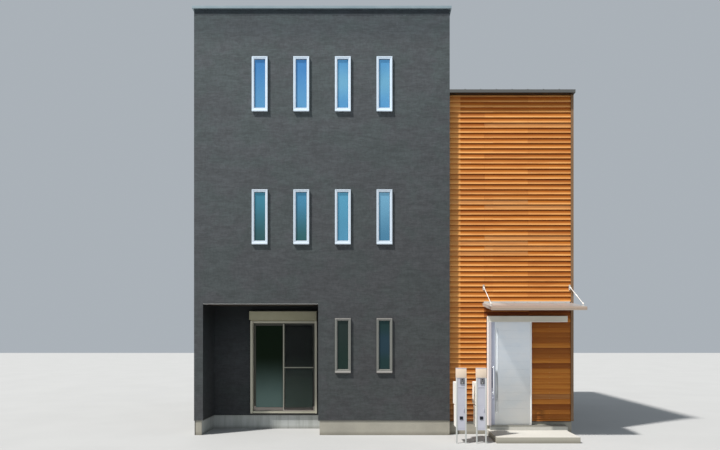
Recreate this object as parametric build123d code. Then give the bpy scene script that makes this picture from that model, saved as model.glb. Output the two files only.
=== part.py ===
from build123d import *
import math
import os

# Two-generation house: a dark rendered three-storey block and a lower timber-clad entrance block.
# Site frame while modelling, in mm: X along the front from the main block's left face,
# Y back from the main front face, Z up from the ground.

# Main block
MAIN_WIDTH = 5620
HOUSE_DEPTH = 7450
WALL = 195
WALL_TOP = 9400
FOUNDATION_TOP = 320
FOUNDATION_INSET = 30
GROUND_FLOOR_TOP = 400
SECOND_FLOOR_TOP = 3222
THIRD_FLOOR_TOP = 6140
FLOOR_DEPTH = 307
PARAPET_HEIGHT = 435
ROOF_DEPTH = 250

# Metal cap of the parapet
COPING_THICKNESS = 25
COPING_LIP = 35
COPING_OVERHANG = 40
COPING_INSIDE_OVERHANG = 20

# Slit windows: first column, pitch and the height of a sill above its floor
WINDOW_FIRST_X = 1449
WINDOW_PITCH = 912
WINDOW_COLUMNS = 4
LOW_WINDOW_COLUMNS = 2
WINDOW_WIDTH = 345
WINDOW_HEIGHT = 1200
WINDOW_ABOVE_FLOOR = 970
WINDOW_PROUD = 40
WINDOW_FLANGE = 14
WINDOW_DEPTH = 130
WINDOW_FACE = 26
SASH_FACE = 28
SASH_FOOT = 54
SASH_SETBACK = 12
SILL_HEIGHT = 44
SILL_PROUD = 4
PANE_THICKNESS = 20
PANE_SETBACK = 34

# Recess beside the pier, with its pale soffit
RECESS_WIDTH = 2534
RECESS_DEPTH = 900
HEADER_DROP = 25
SOFFIT_LIP = 8
SOFFIT_INSET = 15

# Sliding patio door in the recess
PATIO_INSET = 115
PATIO_WIDTH = 1555
PATIO_BOTTOM = 371
PATIO_HEIGHT = 2160
PATIO_PROUD = 30
PATIO_DEPTH = 135
PATIO_FLANGE = 16
PATIO_JAMB = 56
PATIO_HEAD = 48
PATIO_SILL = 40
RAIL_WIDTH = 6
RAIL_HEIGHT = 9
SASH_THICKNESS = 30
SASH_STILE = 42
SASH_TOP_RAIL = 46
SASH_BOTTOM_RAIL = 78
MEETING_OVERLAP = 42
PATIO_GLASS = 18
SCREEN_THICKNESS = 14
SCREEN_FACE = 27
SCREEN_MID_HEIGHT = 1070
MESH_THICKNESS = 2
TRACK_GAP = 6
SLIDE_CLEARANCE = 5
SEAT_CLEARANCE = 0.3

# Roller shutter: box over the patio door and the guides in front of its jambs
SHUTTER_BOX_HEIGHT = 209
SHUTTER_BOX_DEPTH = 185
SHUTTER_BOX_SLOPE = 22
SHUTTER_GUIDE_WIDTH = 50
SHUTTER_GUIDE_DEPTH = 42
SHUTTER_SLOT = 12
END_BAR_HEIGHT = 26
END_BAR_THICKNESS = 20

# Entrance block
ENTRANCE_WIDTH = 2750
ENTRANCE_SETBACK = 130
ENTRANCE_WALL_TOP = 7534
ENTRANCE_ROOF_DEPTH = 230
HALL_FLOOR_TOP = 212
CLADDING_THICKNESS = 22
CLADDING_BOTTOM = 290
EAVE_THICKNESS = 56
EAVE_OVERHANG = 130
EAVE_SIDE_OVERHANG = 15
TRIM_WIDTH = 46
TRIM_THICKNESS = 12

# Doorway and the outset sliding door, hung from a rail box
DOORWAY_INSET = 985
DOORWAY_WIDTH = 775
DOORWAY_TOP = 2440
DOOR_FRONT = 80
LEAF_WIDTH = 891
LEAF_TOP_IN_BOX = 14
LEAF_THICKNESS = 42
LEAF_FLOOR_GAP = 10
LEAF_STILE = 70
LEAF_STILE_PROUD = 4
LEAF_STILE_DROP = 8
GROOVE_PITCH = 172
GROOVE_WIDTH = 6
GROOVE_DEPTH = 3
GROOVE_MARGIN = 24
SLIT_X = 84
SLIT_WIDTH = 58
SLIT_BOTTOM = 500
SLIT_TOP = 2360
SLIT_GLASS = 12
HANDLE_X = 38
HANDLE_BOTTOM = 890
HANDLE_TOP = 1520
HANDLE_DIAMETER = 28
HANDLE_STANDOFF = 42
HANDLE_POST_DIAMETER = 14
HANDLE_POST_INSET = 90
JAMB_WIDTH = 79
JAMB_OUTSET = 144
JAMB_POCKET = 12
RAIL_BOX_WIDTH = 1755
RAIL_BOX_BOTTOM = 2488
RAIL_BOX_HEIGHT = 132
RAIL_BOX_DEPTH = 104
RAIL_BOX_SHEET = 6
HANGER_INSET = 130
HANGER_PLATE_WIDTH = 70
HANGER_PLATE_THICKNESS = 6
HANGER_WHEEL_DIAMETER = 40
HANGER_WHEEL_WIDTH = 16
HANGER_WHEEL_HEIGHT = 56
TRACK_THICKNESS = 6
TRACK_CLEARANCE = 2

# Ledge, step and floor guide under the door
LEDGE_INSET = 44
LEDGE_WIDTH = 1680
LEDGE_REACH = 230
STEP_OUTSET = 8
STEP_WIDTH = 1700
STEP_REACH = 1130
STEP_TOP = 122
GUIDE_PIN_DIAMETER = 10
GUIDE_PIN_HEIGHT = 22
GUIDE_SLOT_WIDTH = 22
GUIDE_SLOT_HEIGHT = 18

# Canopy on two tie rods
CANOPY_OUTSET = 100
CANOPY_WIDTH = 1961
CANOPY_REACH = 1040
CANOPY_TOP_AT_WALL = 2921
CANOPY_FALL = 142
CANOPY_EDGE = 66
CANOPY_RIM = 40
CANOPY_PANEL = 26
WALL_RAIL_DEPTH = 46
WALL_RAIL_HEIGHT = 100
WALL_RAIL_RISE = 26
WALL_RAIL_INSET = 30
TIE_INSET = 26
TIE_HEIGHT = 3257
TIE_REACH = 890
TIE_DIAMETER = 12
LUG_THICKNESS = 8
LUG_RADIUS = 17
LUG_STANDOFF = 44
PLATE_WIDTH = 36
PLATE_HEIGHT = 120
PLATE_THICKNESS = 8
PIN_DIAMETER = 9
PIN_CLEARANCE = 0.3
FORK_CHEEK = 5
FORK_LENGTH = 60
FORK_BODY = 22
FORK_HEIGHT = 24

# Two free-standing letter-box units in front
UNIT_INSET = 8
UNIT_PITCH = 408
UNIT_WIDTH = 214
UNIT_FRONT = -1000
UNIT_TOP = 1530
LAMP_BOTTOM = 1330
LAMP_DEPTH = 96
POST_SIZE = 28
PANEL_BOTTOM = 267
PANEL_THICKNESS = 14
PANEL_SETBACK = 6
BOX_SIDE_GAP = 2
LETTER_BOX = (766, 1222)
LETTER_BOX_DEPTH = 480
PARCEL_BOX = (320, 748)
PARCEL_BOX_DEPTH = 330
INTERCOM_WIDTH = 84
INTERCOM_HEIGHT = 122
INTERCOM_DEPTH = 22
INTERCOM_BOTTOM = 1205
INTERCOM_OFFSET = 18
SOCKET_SIZE = 66
SOCKET_DEPTH = 12
SOCKET_BOTTOM = 482


# Shared shapes
def block(x0, x1, y0, y1, z0, z1):
    return Pos(x0, y0, z0) * Box(x1 - x0, y1 - y0, z1 - z0, align=(Align.MIN,) * 3)


def ring(x0, x1, y0, y1, z0, z1, left, right, bottom, top):
    """A rectangular frame in the XZ plane with the face width of each member."""
    outside = block(x0, x1, y0, y1, z0, z1)
    return outside - block(x0 + left, x1 - right, y0 - 1, y1 + 1, z0 + bottom, z1 - top)


def plan(points, z0, z1):
    return extrude(Pos(0, 0, z0) * make_face(Polyline(points, close=True)), z1 - z0)


def along_x(points, x0, x1):
    """Extrudes a (Y, Z) outline from x0 to x1."""
    outline = Polyline([(x0, y, z) for y, z in points], close=True)
    return extrude(make_face(outline), x1 - x0, dir=(1, 0, 0))


def rod_along_y(x, y0, y1, z, diameter):
    return Pos(x, (y0 + y1) / 2, z) * Rot(90, 0, 0) * Cylinder(diameter / 2, y1 - y0)


def rod_along_x(x0, x1, y, z, diameter):
    return Pos((x0 + x1) / 2, y, z) * Rot(0, 90, 0) * Cylinder(diameter / 2, x1 - x0)


# Planes that several pieces share
house_width = MAIN_WIDTH + ENTRANCE_WIDTH
back_inside = HOUSE_DEPTH - WALL
roof_top = WALL_TOP - PARAPET_HEIGHT
recess_right = WALL + RECESS_WIDTH
recess_inside = RECESS_DEPTH + WALL
ceiling = SECOND_FLOOR_TOP - FLOOR_DEPTH
header_bottom = ceiling - HEADER_DROP
cladding_back = ENTRANCE_SETBACK + CLADDING_THICKNESS
entrance_inside = ENTRANCE_SETBACK + WALL
side_inside = house_width - WALL
patio_right = recess_right - PATIO_INSET
patio_x = patio_right - PATIO_WIDTH
patio_top = PATIO_BOTTOM + PATIO_HEIGHT
patio_hole = (patio_x + PATIO_FLANGE, patio_right - PATIO_FLANGE)
doorway_x = MAIN_WIDTH + DOORWAY_INSET
doorway_right = doorway_x + DOORWAY_WIDTH
rail_box_x = doorway_x - JAMB_OUTSET
rail_box_right = rail_box_x + RAIL_BOX_WIDTH
leaf_x = rail_box_x + JAMB_WIDTH + SLIDE_CLEARANCE
canopy_x = rail_box_x - CANOPY_OUTSET
canopy_right = canopy_x + CANOPY_WIDTH
window_bottoms = [
    floor + WINDOW_ABOVE_FLOOR for floor in (GROUND_FLOOR_TOP, SECOND_FLOOR_TOP, THIRD_FLOOR_TOP)
]
unit_xs = [MAIN_WIDTH + UNIT_INSET + place * UNIT_PITCH for place in range(2)]


# Concrete
def main_foundation():
    edge = FOUNDATION_INSET
    points = [
        (edge, edge),
        (WALL - edge, edge),
        (WALL - edge, RECESS_DEPTH + edge),
        (recess_right + edge, RECESS_DEPTH + edge),
        (recess_right + edge, edge),
        (MAIN_WIDTH, edge),
        (MAIN_WIDTH, HOUSE_DEPTH - edge),
        (edge, HOUSE_DEPTH - edge),
    ]
    return plan(points, 0, FOUNDATION_TOP)


def entrance_foundation():
    """Upstands under the entrance block's walls, left out at the doorway."""
    right, back = house_width - FOUNDATION_INSET, HOUSE_DEPTH - FOUNDATION_INSET
    points = [
        (doorway_right, cladding_back),
        (right, cladding_back),
        (right, back),
        (MAIN_WIDTH, back),
        (MAIN_WIDTH, back_inside),
        (side_inside, back_inside),
        (side_inside, entrance_inside),
        (doorway_right, entrance_inside),
    ]
    left = block(MAIN_WIDTH, doorway_x, cladding_back, entrance_inside, 0, FOUNDATION_TOP)
    return [left, plan(points, 0, FOUNDATION_TOP)]


def hall_floor():
    """Slab of the entrance hall, which runs out through the doorway."""
    points = [
        (MAIN_WIDTH, entrance_inside),
        (doorway_x, entrance_inside),
        (doorway_x, cladding_back),
        (doorway_right, cladding_back),
        (doorway_right, entrance_inside),
        (side_inside, entrance_inside),
        (side_inside, back_inside),
        (MAIN_WIDTH, back_inside),
    ]
    return plan(points, 0, HALL_FLOOR_TOP)


def entrance_step():
    front = ENTRANCE_SETBACK - STEP_REACH
    step_x = rail_box_x - STEP_OUTSET
    ledge_x = rail_box_x + LEDGE_INSET
    ledge_front = ENTRANCE_SETBACK - LEDGE_REACH
    step = block(step_x, step_x + STEP_WIDTH, front, cladding_back, 0, STEP_TOP)
    ledge = block(ledge_x, ledge_x + LEDGE_WIDTH, ledge_front, cladding_back, 0, HALL_FLOOR_TOP)
    place = Pos(doorway_right + GUIDE_PIN_DIAMETER, leaf_middle_y, HALL_FLOOR_TOP)
    upright = (Align.CENTER, Align.CENTER, Align.MIN)
    pin = place * Cylinder(GUIDE_PIN_DIAMETER / 2, GUIDE_PIN_HEIGHT, align=upright)
    return step + ledge + pin


# Floors and roofs
def ground_floor():
    points = [
        (WALL, recess_inside),
        (recess_right + WALL, recess_inside),
        (recess_right + WALL, WALL),
        (MAIN_WIDTH, WALL),
        (MAIN_WIDTH, back_inside),
        (WALL, back_inside),
    ]
    sill = block(*patio_hole, RECESS_DEPTH, recess_inside, FOUNDATION_TOP, PATIO_BOTTOM)
    return plan(points, FOUNDATION_TOP, GROUND_FLOOR_TOP) + sill


def second_floor():
    points = [
        (WALL, WALL),
        (MAIN_WIDTH, WALL),
        (MAIN_WIDTH, entrance_inside),
        (side_inside, entrance_inside),
        (side_inside, back_inside),
        (WALL, back_inside),
    ]
    return plan(points, ceiling, SECOND_FLOOR_TOP)


def third_floor():
    return block(WALL, MAIN_WIDTH, WALL, back_inside, THIRD_FLOOR_TOP - FLOOR_DEPTH, THIRD_FLOOR_TOP)


def main_roof():
    return block(WALL, MAIN_WIDTH - WALL, WALL, back_inside, roof_top - ROOF_DEPTH, roof_top)


def entrance_roof():
    bottom = ENTRANCE_WALL_TOP - ENTRANCE_ROOF_DEPTH
    return block(MAIN_WIDTH, side_inside, entrance_inside, back_inside, bottom, ENTRANCE_WALL_TOP)


def entrance_eave():
    """Flat sheet roof that runs out past the walls in front, at the right and at the back."""
    front = ENTRANCE_SETBACK - EAVE_OVERHANG
    right = house_width + EAVE_SIDE_OVERHANG
    back = HOUSE_DEPTH + EAVE_SIDE_OVERHANG
    top = ENTRANCE_WALL_TOP + EAVE_THICKNESS
    return block(MAIN_WIDTH, right, front, back, ENTRANCE_WALL_TOP, top)


def main_coping():
    out, inside = COPING_OVERHANG, WALL + COPING_INSIDE_OVERHANG
    top, bottom = WALL_TOP + COPING_THICKNESS, WALL_TOP - COPING_LIP
    well = block(inside, MAIN_WIDTH - inside, inside, HOUSE_DEPTH - inside, bottom - 1, top + 1)
    walls = block(0, MAIN_WIDTH, 0, HOUSE_DEPTH, bottom - 1, WALL_TOP)
    walls -= block(WALL, MAIN_WIDTH - WALL, WALL, back_inside, bottom - 1, WALL_TOP)
    cap = block(-out, MAIN_WIDTH + out, -out, HOUSE_DEPTH + out, bottom, top)
    return cap - well - walls


# Slit windows
def window_x(column):
    return WINDOW_FIRST_X + column * WINDOW_PITCH - WINDOW_WIDTH / 2


def front_windows():
    """The (x, z) corner of every slit window in the front."""
    low = range(WINDOW_COLUMNS - LOW_WINDOW_COLUMNS, WINDOW_COLUMNS)
    rows = (low, range(WINDOW_COLUMNS), range(WINDOW_COLUMNS))
    return [(window_x(c), z) for z, row in zip(window_bottoms, rows) for c in row]


def back_windows():
    return [(window_x(c), z) for z in window_bottoms for c in range(WINDOW_COLUMNS)]


def window_hole(x, z, y0, y1):
    flange = WINDOW_FLANGE
    right, top = x + WINDOW_WIDTH - flange, z + WINDOW_HEIGHT - flange
    return block(x + flange, right, y0 - 1, y1 + 1, z + flange, top)


def window_frame(x, z):
    """A frame facing -Y on the plane Y=0: collar on the wall, box through it, sash and sill bar."""
    right, top = x + WINDOW_WIDTH, z + WINDOW_HEIGHT
    front, back = -WINDOW_PROUD, WINDOW_DEPTH - WINDOW_PROUD
    flange, face = WINDOW_FLANGE, WINDOW_FACE
    collar = ring(x, right, front, 0, z, top, *(face,) * 4)
    box = ring(x + flange, right - flange, 0, back, z + flange, top - flange, *(face - flange,) * 4)
    sash_front = front + SASH_SETBACK
    members = (SASH_FACE, SASH_FACE, SASH_FOOT, SASH_FACE)
    sash = ring(x + face, right - face, sash_front, back, z + face, top - face, *members)
    sill = block(x, right, front - SILL_PROUD, front, z, z + SILL_HEIGHT)
    return collar + box + sash + sill


def window_pane(x, z):
    edge = WINDOW_FACE + SASH_FACE
    front = PANE_SETBACK - WINDOW_PROUD
    right, top = x + WINDOW_WIDTH - edge, z + WINDOW_HEIGHT - edge
    bottom = z + WINDOW_FACE + SASH_FOOT
    return block(x + edge, right, front, front + PANE_THICKNESS, bottom, top)


def facing_back(shape, x):
    """Turns a front window about its own middle to stand in the back wall."""
    middle = x + WINDOW_WIDTH / 2
    return Pos(middle, HOUSE_DEPTH, 0) * Rot(0, 0, 180) * Pos(-middle, 0, 0) * shape


def window_set(piece):
    return [piece(x, z) for x, z in front_windows()]


def back_window_set(piece):
    return [facing_back(piece(x, z), x) for x, z in back_windows()]


# Walls of the main block
def front_wall_upper():
    wall = block(WALL, MAIN_WIDTH, 0, WALL, header_bottom, WALL_TOP)
    for x, z in front_windows():
        if z > header_bottom:
            wall -= window_hole(x, z, 0, WALL)
    return wall


def front_wall_lower():
    wall = block(recess_right, MAIN_WIDTH, 0, WALL, FOUNDATION_TOP, header_bottom)
    for x, z in front_windows():
        if z < header_bottom:
            wall -= window_hole(x, z, 0, WALL)
    return wall


def left_wall():
    return block(0, WALL, 0, HOUSE_DEPTH, FOUNDATION_TOP, WALL_TOP)


def side_wall_upper():
    return block(MAIN_WIDTH - WALL, MAIN_WIDTH, WALL, back_inside, THIRD_FLOOR_TOP, WALL_TOP)


def back_wall():
    wall = block(WALL, MAIN_WIDTH, back_inside, HOUSE_DEPTH, FOUNDATION_TOP, WALL_TOP)
    for x, z in back_windows():
        wall -= window_hole(x, z, back_inside, HOUSE_DEPTH)
    return wall


def recess_wall_left():
    return block(WALL, patio_hole[0], RECESS_DEPTH, recess_inside, FOUNDATION_TOP, ceiling)


def recess_wall_over():
    return block(*patio_hole, RECESS_DEPTH, recess_inside, patio_top - PATIO_FLANGE, ceiling)


def recess_side_wall():
    side = block(recess_right, recess_right + WALL, WALL, recess_inside, FOUNDATION_TOP, ceiling)
    return side + block(patio_hole[1], recess_right, RECESS_DEPTH, recess_inside, FOUNDATION_TOP, ceiling)


def recess_soffit():
    """Ceiling board of the recess; its lower skin runs on under the header, almost to the front."""
    board = block(WALL, recess_right, WALL, RECESS_DEPTH, header_bottom, ceiling)
    skin_z = (header_bottom - SOFFIT_LIP, header_bottom)
    return board + block(WALL, recess_right, SOFFIT_INSET, RECESS_DEPTH, *skin_z)


# Patio door: three tracks from the outside in, for the insect screen and the two sashes
frame_front = RECESS_DEPTH - PATIO_PROUD
screen_y = frame_front + TRACK_GAP
outer_sash_y = screen_y + SCREEN_THICKNESS + TRACK_GAP
inner_sash_y = outer_sash_y + SASH_THICKNESS + TRACK_GAP
clear_left = patio_x + PATIO_JAMB
clear_right = patio_right - PATIO_JAMB
clear_bottom = PATIO_BOTTOM + PATIO_SILL
clear_top = patio_top - PATIO_HEAD
sash_width = (clear_right - clear_left + MEETING_OVERLAP) / 2 - SLIDE_CLEARANCE
sash_bottom = clear_bottom + RAIL_HEIGHT + SEAT_CLEARANCE
sash_top = clear_top - SLIDE_CLEARANCE


def patio_frame():
    back = frame_front + PATIO_DEPTH
    flange = PATIO_FLANGE
    sides = (PATIO_JAMB, PATIO_JAMB, PATIO_SILL, PATIO_HEAD)
    collar = ring(patio_x, patio_right, frame_front, RECESS_DEPTH, PATIO_BOTTOM, patio_top, *sides)
    box = ring(
        *patio_hole, RECESS_DEPTH, back, PATIO_BOTTOM, patio_top - flange,
        PATIO_JAMB - flange, PATIO_JAMB - flange, PATIO_SILL, PATIO_HEAD - flange,
    )
    frame = collar + box
    for y, thickness in track_list():
        middle = y + thickness / 2
        frame += block(
            clear_left, clear_right, middle - RAIL_WIDTH / 2, middle + RAIL_WIDTH / 2,
            clear_bottom, clear_bottom + RAIL_HEIGHT,
        )
    return frame + shutter_guide(patio_x, 1) + shutter_guide(patio_right, -1)


def track_list():
    return (
        (screen_y, SCREEN_THICKNESS),
        (outer_sash_y, SASH_THICKNESS),
        (inner_sash_y, SASH_THICKNESS),
    )


def shutter_guide(x, side):
    """A channel in front of a jamb, open towards the middle of the door."""
    front = frame_front - SHUTTER_GUIDE_DEPTH
    width = SHUTTER_GUIDE_WIDTH
    x0, x1 = sorted((x, x + side * width))
    guide = block(x0, x1, front, frame_front, PATIO_BOTTOM, patio_top)
    middle = front + SHUTTER_GUIDE_DEPTH / 2
    slot_x = sorted((x + side * width / 2, x + side * (width + 1)))
    slot_y = (middle - SHUTTER_SLOT / 2, middle + SHUTTER_SLOT / 2)
    return guide - block(*slot_x, *slot_y, clear_bottom, patio_top + 1)


def shutter_box():
    """Box with a sloped top, and the end bar of the raised curtain between the guides."""
    bottom = patio_top + END_BAR_HEIGHT
    top = bottom + SHUTTER_BOX_HEIGHT
    front = RECESS_DEPTH - SHUTTER_BOX_DEPTH
    outline = [
        (RECESS_DEPTH, bottom),
        (front, bottom),
        (front, top - SHUTTER_BOX_SLOPE),
        (front + SHUTTER_BOX_SLOPE, top - SHUTTER_BOX_SLOPE / 4),
        (RECESS_DEPTH, top),
    ]
    box = along_x(outline, patio_x, patio_right)
    bar_front = frame_front - SHUTTER_GUIDE_DEPTH / 2 - END_BAR_THICKNESS / 2
    bar = block(patio_x, patio_right, bar_front, bar_front + END_BAR_THICKNESS, patio_top, bottom)
    return box + bar


def sash(x, y):
    faces = (SASH_STILE, SASH_STILE, SASH_BOTTOM_RAIL, SASH_TOP_RAIL)
    return ring(x, x + sash_width, y, y + SASH_THICKNESS, sash_bottom, sash_top, *faces)


def sash_glass(x, y):
    middle = y + SASH_THICKNESS / 2
    return block(
        x + SASH_STILE, x + sash_width - SASH_STILE, middle - PATIO_GLASS / 2, middle + PATIO_GLASS / 2,
        sash_bottom + SASH_BOTTOM_RAIL, sash_top - SASH_TOP_RAIL,
    )


left_sash = (clear_left + SLIDE_CLEARANCE, inner_sash_y)
right_sash = (clear_right - SLIDE_CLEARANCE - sash_width, outer_sash_y)


def insect_screen():
    x, y, face = right_sash[0], screen_y, SCREEN_FACE
    right, back = x + sash_width, y + SCREEN_THICKNESS
    frame = ring(x, right, y, back, sash_bottom, sash_top, *(face,) * 4)
    mid = PATIO_BOTTOM + SCREEN_MID_HEIGHT
    frame += block(x + face, right - face, y, back, mid - face / 2, mid + face / 2)
    mesh_y = (y + back - MESH_THICKNESS) / 2
    mesh_z = (sash_bottom + face, sash_top - face)
    return frame + block(x + face, right - face, mesh_y, mesh_y + MESH_THICKNESS, *mesh_z)


# Walls and cladding of the entrance block
def entrance_wall_left():
    return block(MAIN_WIDTH, doorway_x, cladding_back, entrance_inside, FOUNDATION_TOP, ENTRANCE_WALL_TOP)


def entrance_wall_over():
    return block(doorway_x, doorway_right, cladding_back, entrance_inside, DOORWAY_TOP, ENTRANCE_WALL_TOP)


def entrance_wall_right():
    depth = (cladding_back, entrance_inside)
    return block(doorway_right, house_width, *depth, FOUNDATION_TOP, ENTRANCE_WALL_TOP)


def entrance_side_wall():
    depth = (entrance_inside, HOUSE_DEPTH)
    return block(side_inside, house_width, *depth, FOUNDATION_TOP, ENTRANCE_WALL_TOP)


def entrance_back_wall():
    depth = (back_inside, HOUSE_DEPTH)
    return block(MAIN_WIDTH, side_inside, *depth, FOUNDATION_TOP, ENTRANCE_WALL_TOP)


def wood_cladding():
    right = house_width - TRIM_WIDTH
    skin = block(MAIN_WIDTH, right, ENTRANCE_SETBACK, cladding_back, CLADDING_BOTTOM, ENTRANCE_WALL_TOP)
    return skin - block(doorway_x, doorway_right, 0, WALL, 0, DOORWAY_TOP)


def corner_trim():
    front = ENTRANCE_SETBACK - TRIM_THICKNESS
    x0, x1 = house_width - TRIM_WIDTH, house_width + TRIM_THICKNESS
    angle = block(x0, x1, front, cladding_back + TRIM_WIDTH, CLADDING_BOTTOM, ENTRANCE_WALL_TOP)
    return angle - block(x0 - 1, house_width, cladding_back, WALL + TRIM_WIDTH, 0, ENTRANCE_WALL_TOP + 1)


# Outset sliding entrance door
leaf_front = ENTRANCE_SETBACK - DOOR_FRONT
leaf_back = leaf_front + LEAF_THICKNESS
leaf_middle_y = (leaf_front + leaf_back) / 2
leaf_bottom = HALL_FLOOR_TOP + LEAF_FLOOR_GAP
leaf_top = RAIL_BOX_BOTTOM + LEAF_TOP_IN_BOX
leaf_right = leaf_x + LEAF_WIDTH
rail_box_front = ENTRANCE_SETBACK - RAIL_BOX_DEPTH
rail_box_top = RAIL_BOX_BOTTOM + RAIL_BOX_HEIGHT
track_top = leaf_top + HANGER_WHEEL_HEIGHT - HANGER_WHEEL_DIAMETER / 2


def door_leaf():
    leaf = block(leaf_x, leaf_right, leaf_front, leaf_back, leaf_bottom, leaf_top)
    slit_x = leaf_x + SLIT_X
    leaf -= block(slit_x, slit_x + SLIT_WIDTH, leaf_front - 1, leaf_back + 1, SLIT_BOTTOM, SLIT_TOP)
    groove_x = (slit_x + SLIT_WIDTH + GROOVE_MARGIN, leaf_right - LEAF_STILE)
    groove = leaf_bottom + GROOVE_PITCH
    while groove < RAIL_BOX_BOTTOM - GROOVE_PITCH / 2:
        groove_z = (groove - GROOVE_WIDTH / 2, groove + GROOVE_WIDTH / 2)
        leaf -= block(*groove_x, leaf_front - 1, leaf_front + GROOVE_DEPTH, *groove_z)
        groove += GROOVE_PITCH
    stile_y = (leaf_front - LEAF_STILE_PROUD, leaf_front)
    stile_top = RAIL_BOX_BOTTOM - LEAF_STILE_DROP
    leaf += block(leaf_right - LEAF_STILE, leaf_right, *stile_y, leaf_bottom, stile_top)
    slot_y = (leaf_middle_y - GUIDE_SLOT_WIDTH / 2, leaf_middle_y + GUIDE_SLOT_WIDTH / 2)
    slot_z = (leaf_bottom - 1, leaf_bottom + GUIDE_SLOT_HEIGHT)
    return leaf - block(leaf_x - 1, leaf_right + 1, *slot_y, *slot_z)


def door_glass():
    x = leaf_x + SLIT_X
    front = leaf_middle_y - SLIT_GLASS / 2
    return block(x, x + SLIT_WIDTH, front, front + SLIT_GLASS, SLIT_BOTTOM, SLIT_TOP)


def door_handle():
    x = leaf_x + HANDLE_X
    y = leaf_front - HANDLE_STANDOFF
    length = HANDLE_TOP - HANDLE_BOTTOM
    bar = Pos(x, y, HANDLE_BOTTOM + length / 2) * Cylinder(HANDLE_DIAMETER / 2, length)
    for z in (HANDLE_BOTTOM + HANDLE_POST_INSET, HANDLE_TOP - HANDLE_POST_INSET):
        bar += rod_along_y(x, y, leaf_front, z, HANDLE_POST_DIAMETER)
    return bar


def door_hangers():
    """Two plates on the leaf's top edge, each with a wheel that rolls on the track in the rail box."""
    plate_y = leaf_middle_y - HANGER_PLATE_THICKNESS / 2
    wheel_y = leaf_middle_y + HANGER_PLATE_THICKNESS / 2
    wheel_z = leaf_top + HANGER_WHEEL_HEIGHT
    plate_top = wheel_z + HANGER_WHEEL_DIAMETER / 4
    pieces = []
    for x in (leaf_x + HANGER_INSET, leaf_right - HANGER_INSET):
        plate_x = x - HANGER_PLATE_WIDTH / 2
        plate = block(plate_x, plate_x + HANGER_PLATE_WIDTH, plate_y, wheel_y, leaf_top, plate_top)
        wheel = rod_along_y(x, wheel_y, wheel_y + HANGER_WHEEL_WIDTH, wheel_z, HANGER_WHEEL_DIAMETER)
        pieces.append(plate + wheel)
    return pieces


def door_rail_box():
    """A box open along its underside, with the track as an inside shelf of its back plate."""
    sheet = RAIL_BOX_SHEET
    left, right, back = rail_box_x + sheet, rail_box_right - sheet, ENTRANCE_SETBACK - sheet
    depth = (rail_box_front, ENTRANCE_SETBACK)
    box = block(rail_box_x, rail_box_right, *depth, RAIL_BOX_BOTTOM, rail_box_top)
    box -= block(left, right, rail_box_front + sheet, back, RAIL_BOX_BOTTOM - 1, rail_box_top - sheet)
    front = leaf_middle_y + HANGER_PLATE_THICKNESS / 2 + TRACK_CLEARANCE
    top = track_top - SEAT_CLEARANCE
    return box + block(left, right, front, back, top - TRACK_THICKNESS, top)


def door_jamb():
    front, right = rail_box_front, rail_box_x + JAMB_WIDTH
    jamb = block(rail_box_x, right, front, ENTRANCE_SETBACK, HALL_FLOOR_TOP, RAIL_BOX_BOTTOM)
    pocket_y = (leaf_front - SLIDE_CLEARANCE, leaf_back + SLIDE_CLEARANCE)
    pocket_z = (HALL_FLOOR_TOP - 1, RAIL_BOX_BOTTOM + 1)
    return jamb - block(right - JAMB_POCKET, right + 1, *pocket_y, *pocket_z)


# Canopy, its brackets and tie rods
canopy_slope = math.degrees(math.atan2(CANOPY_FALL, CANOPY_REACH))


def canopy_top_at(reach):
    return CANOPY_TOP_AT_WALL - CANOPY_FALL * reach / CANOPY_REACH


def canopy_panel():
    wall, tip = ENTRANCE_SETBACK - WALL_RAIL_DEPTH, ENTRANCE_SETBACK - CANOPY_REACH
    top_wall, top_tip = canopy_top_at(WALL_RAIL_DEPTH), canopy_top_at(CANOPY_REACH)
    outline = [
        (wall, top_wall),
        (tip, top_tip),
        (tip, top_tip - CANOPY_EDGE),
        (wall, top_wall - CANOPY_EDGE),
    ]
    slab = along_x(outline, canopy_x, canopy_right)
    rim = CANOPY_RIM
    z_wall = canopy_top_at(WALL_RAIL_DEPTH + rim) - CANOPY_PANEL
    z_tip = canopy_top_at(CANOPY_REACH - rim) - CANOPY_PANEL
    pocket = [
        (wall - rim, z_wall),
        (tip + rim, z_tip),
        (tip + rim, z_tip - CANOPY_EDGE),
        (wall - rim, z_wall - CANOPY_EDGE),
    ]
    return slab - along_x(pocket, canopy_x + rim, canopy_right - rim)


def tie_xs():
    return (canopy_x + TIE_INSET, canopy_right - TIE_INSET)


def tie_ends():
    """The (y, z) of a tie's pin at the wall and of its pin on the canopy."""
    wall = (ENTRANCE_SETBACK - LUG_STANDOFF, TIE_HEIGHT)
    tip = (ENTRANCE_SETBACK - TIE_REACH, canopy_top_at(TIE_REACH) + LUG_STANDOFF)
    return wall, tip


def lug(x, y, z, base_y, base_z):
    """An upright plate with a pin hole at (y, z), reaching back to its base."""
    x0, x1 = x - LUG_THICKNESS / 2, x + LUG_THICKNESS / 2
    eye = rod_along_x(x0, x1, y, z, 2 * LUG_RADIUS)
    grow_y = LUG_RADIUS if base_y == y else 0
    grow_z = LUG_RADIUS if base_z == z else 0
    web_y = (min(y, base_y) - grow_y, max(y, base_y) + grow_y)
    web_z = (min(z, base_z) - grow_z, max(z, base_z) + grow_z)
    web = block(x0, x1, *web_y, *web_z)
    hole = rod_along_x(x0 - 1, x1 + 1, y, z, PIN_DIAMETER + 2 * PIN_CLEARANCE)
    return eye + web - hole


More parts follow.
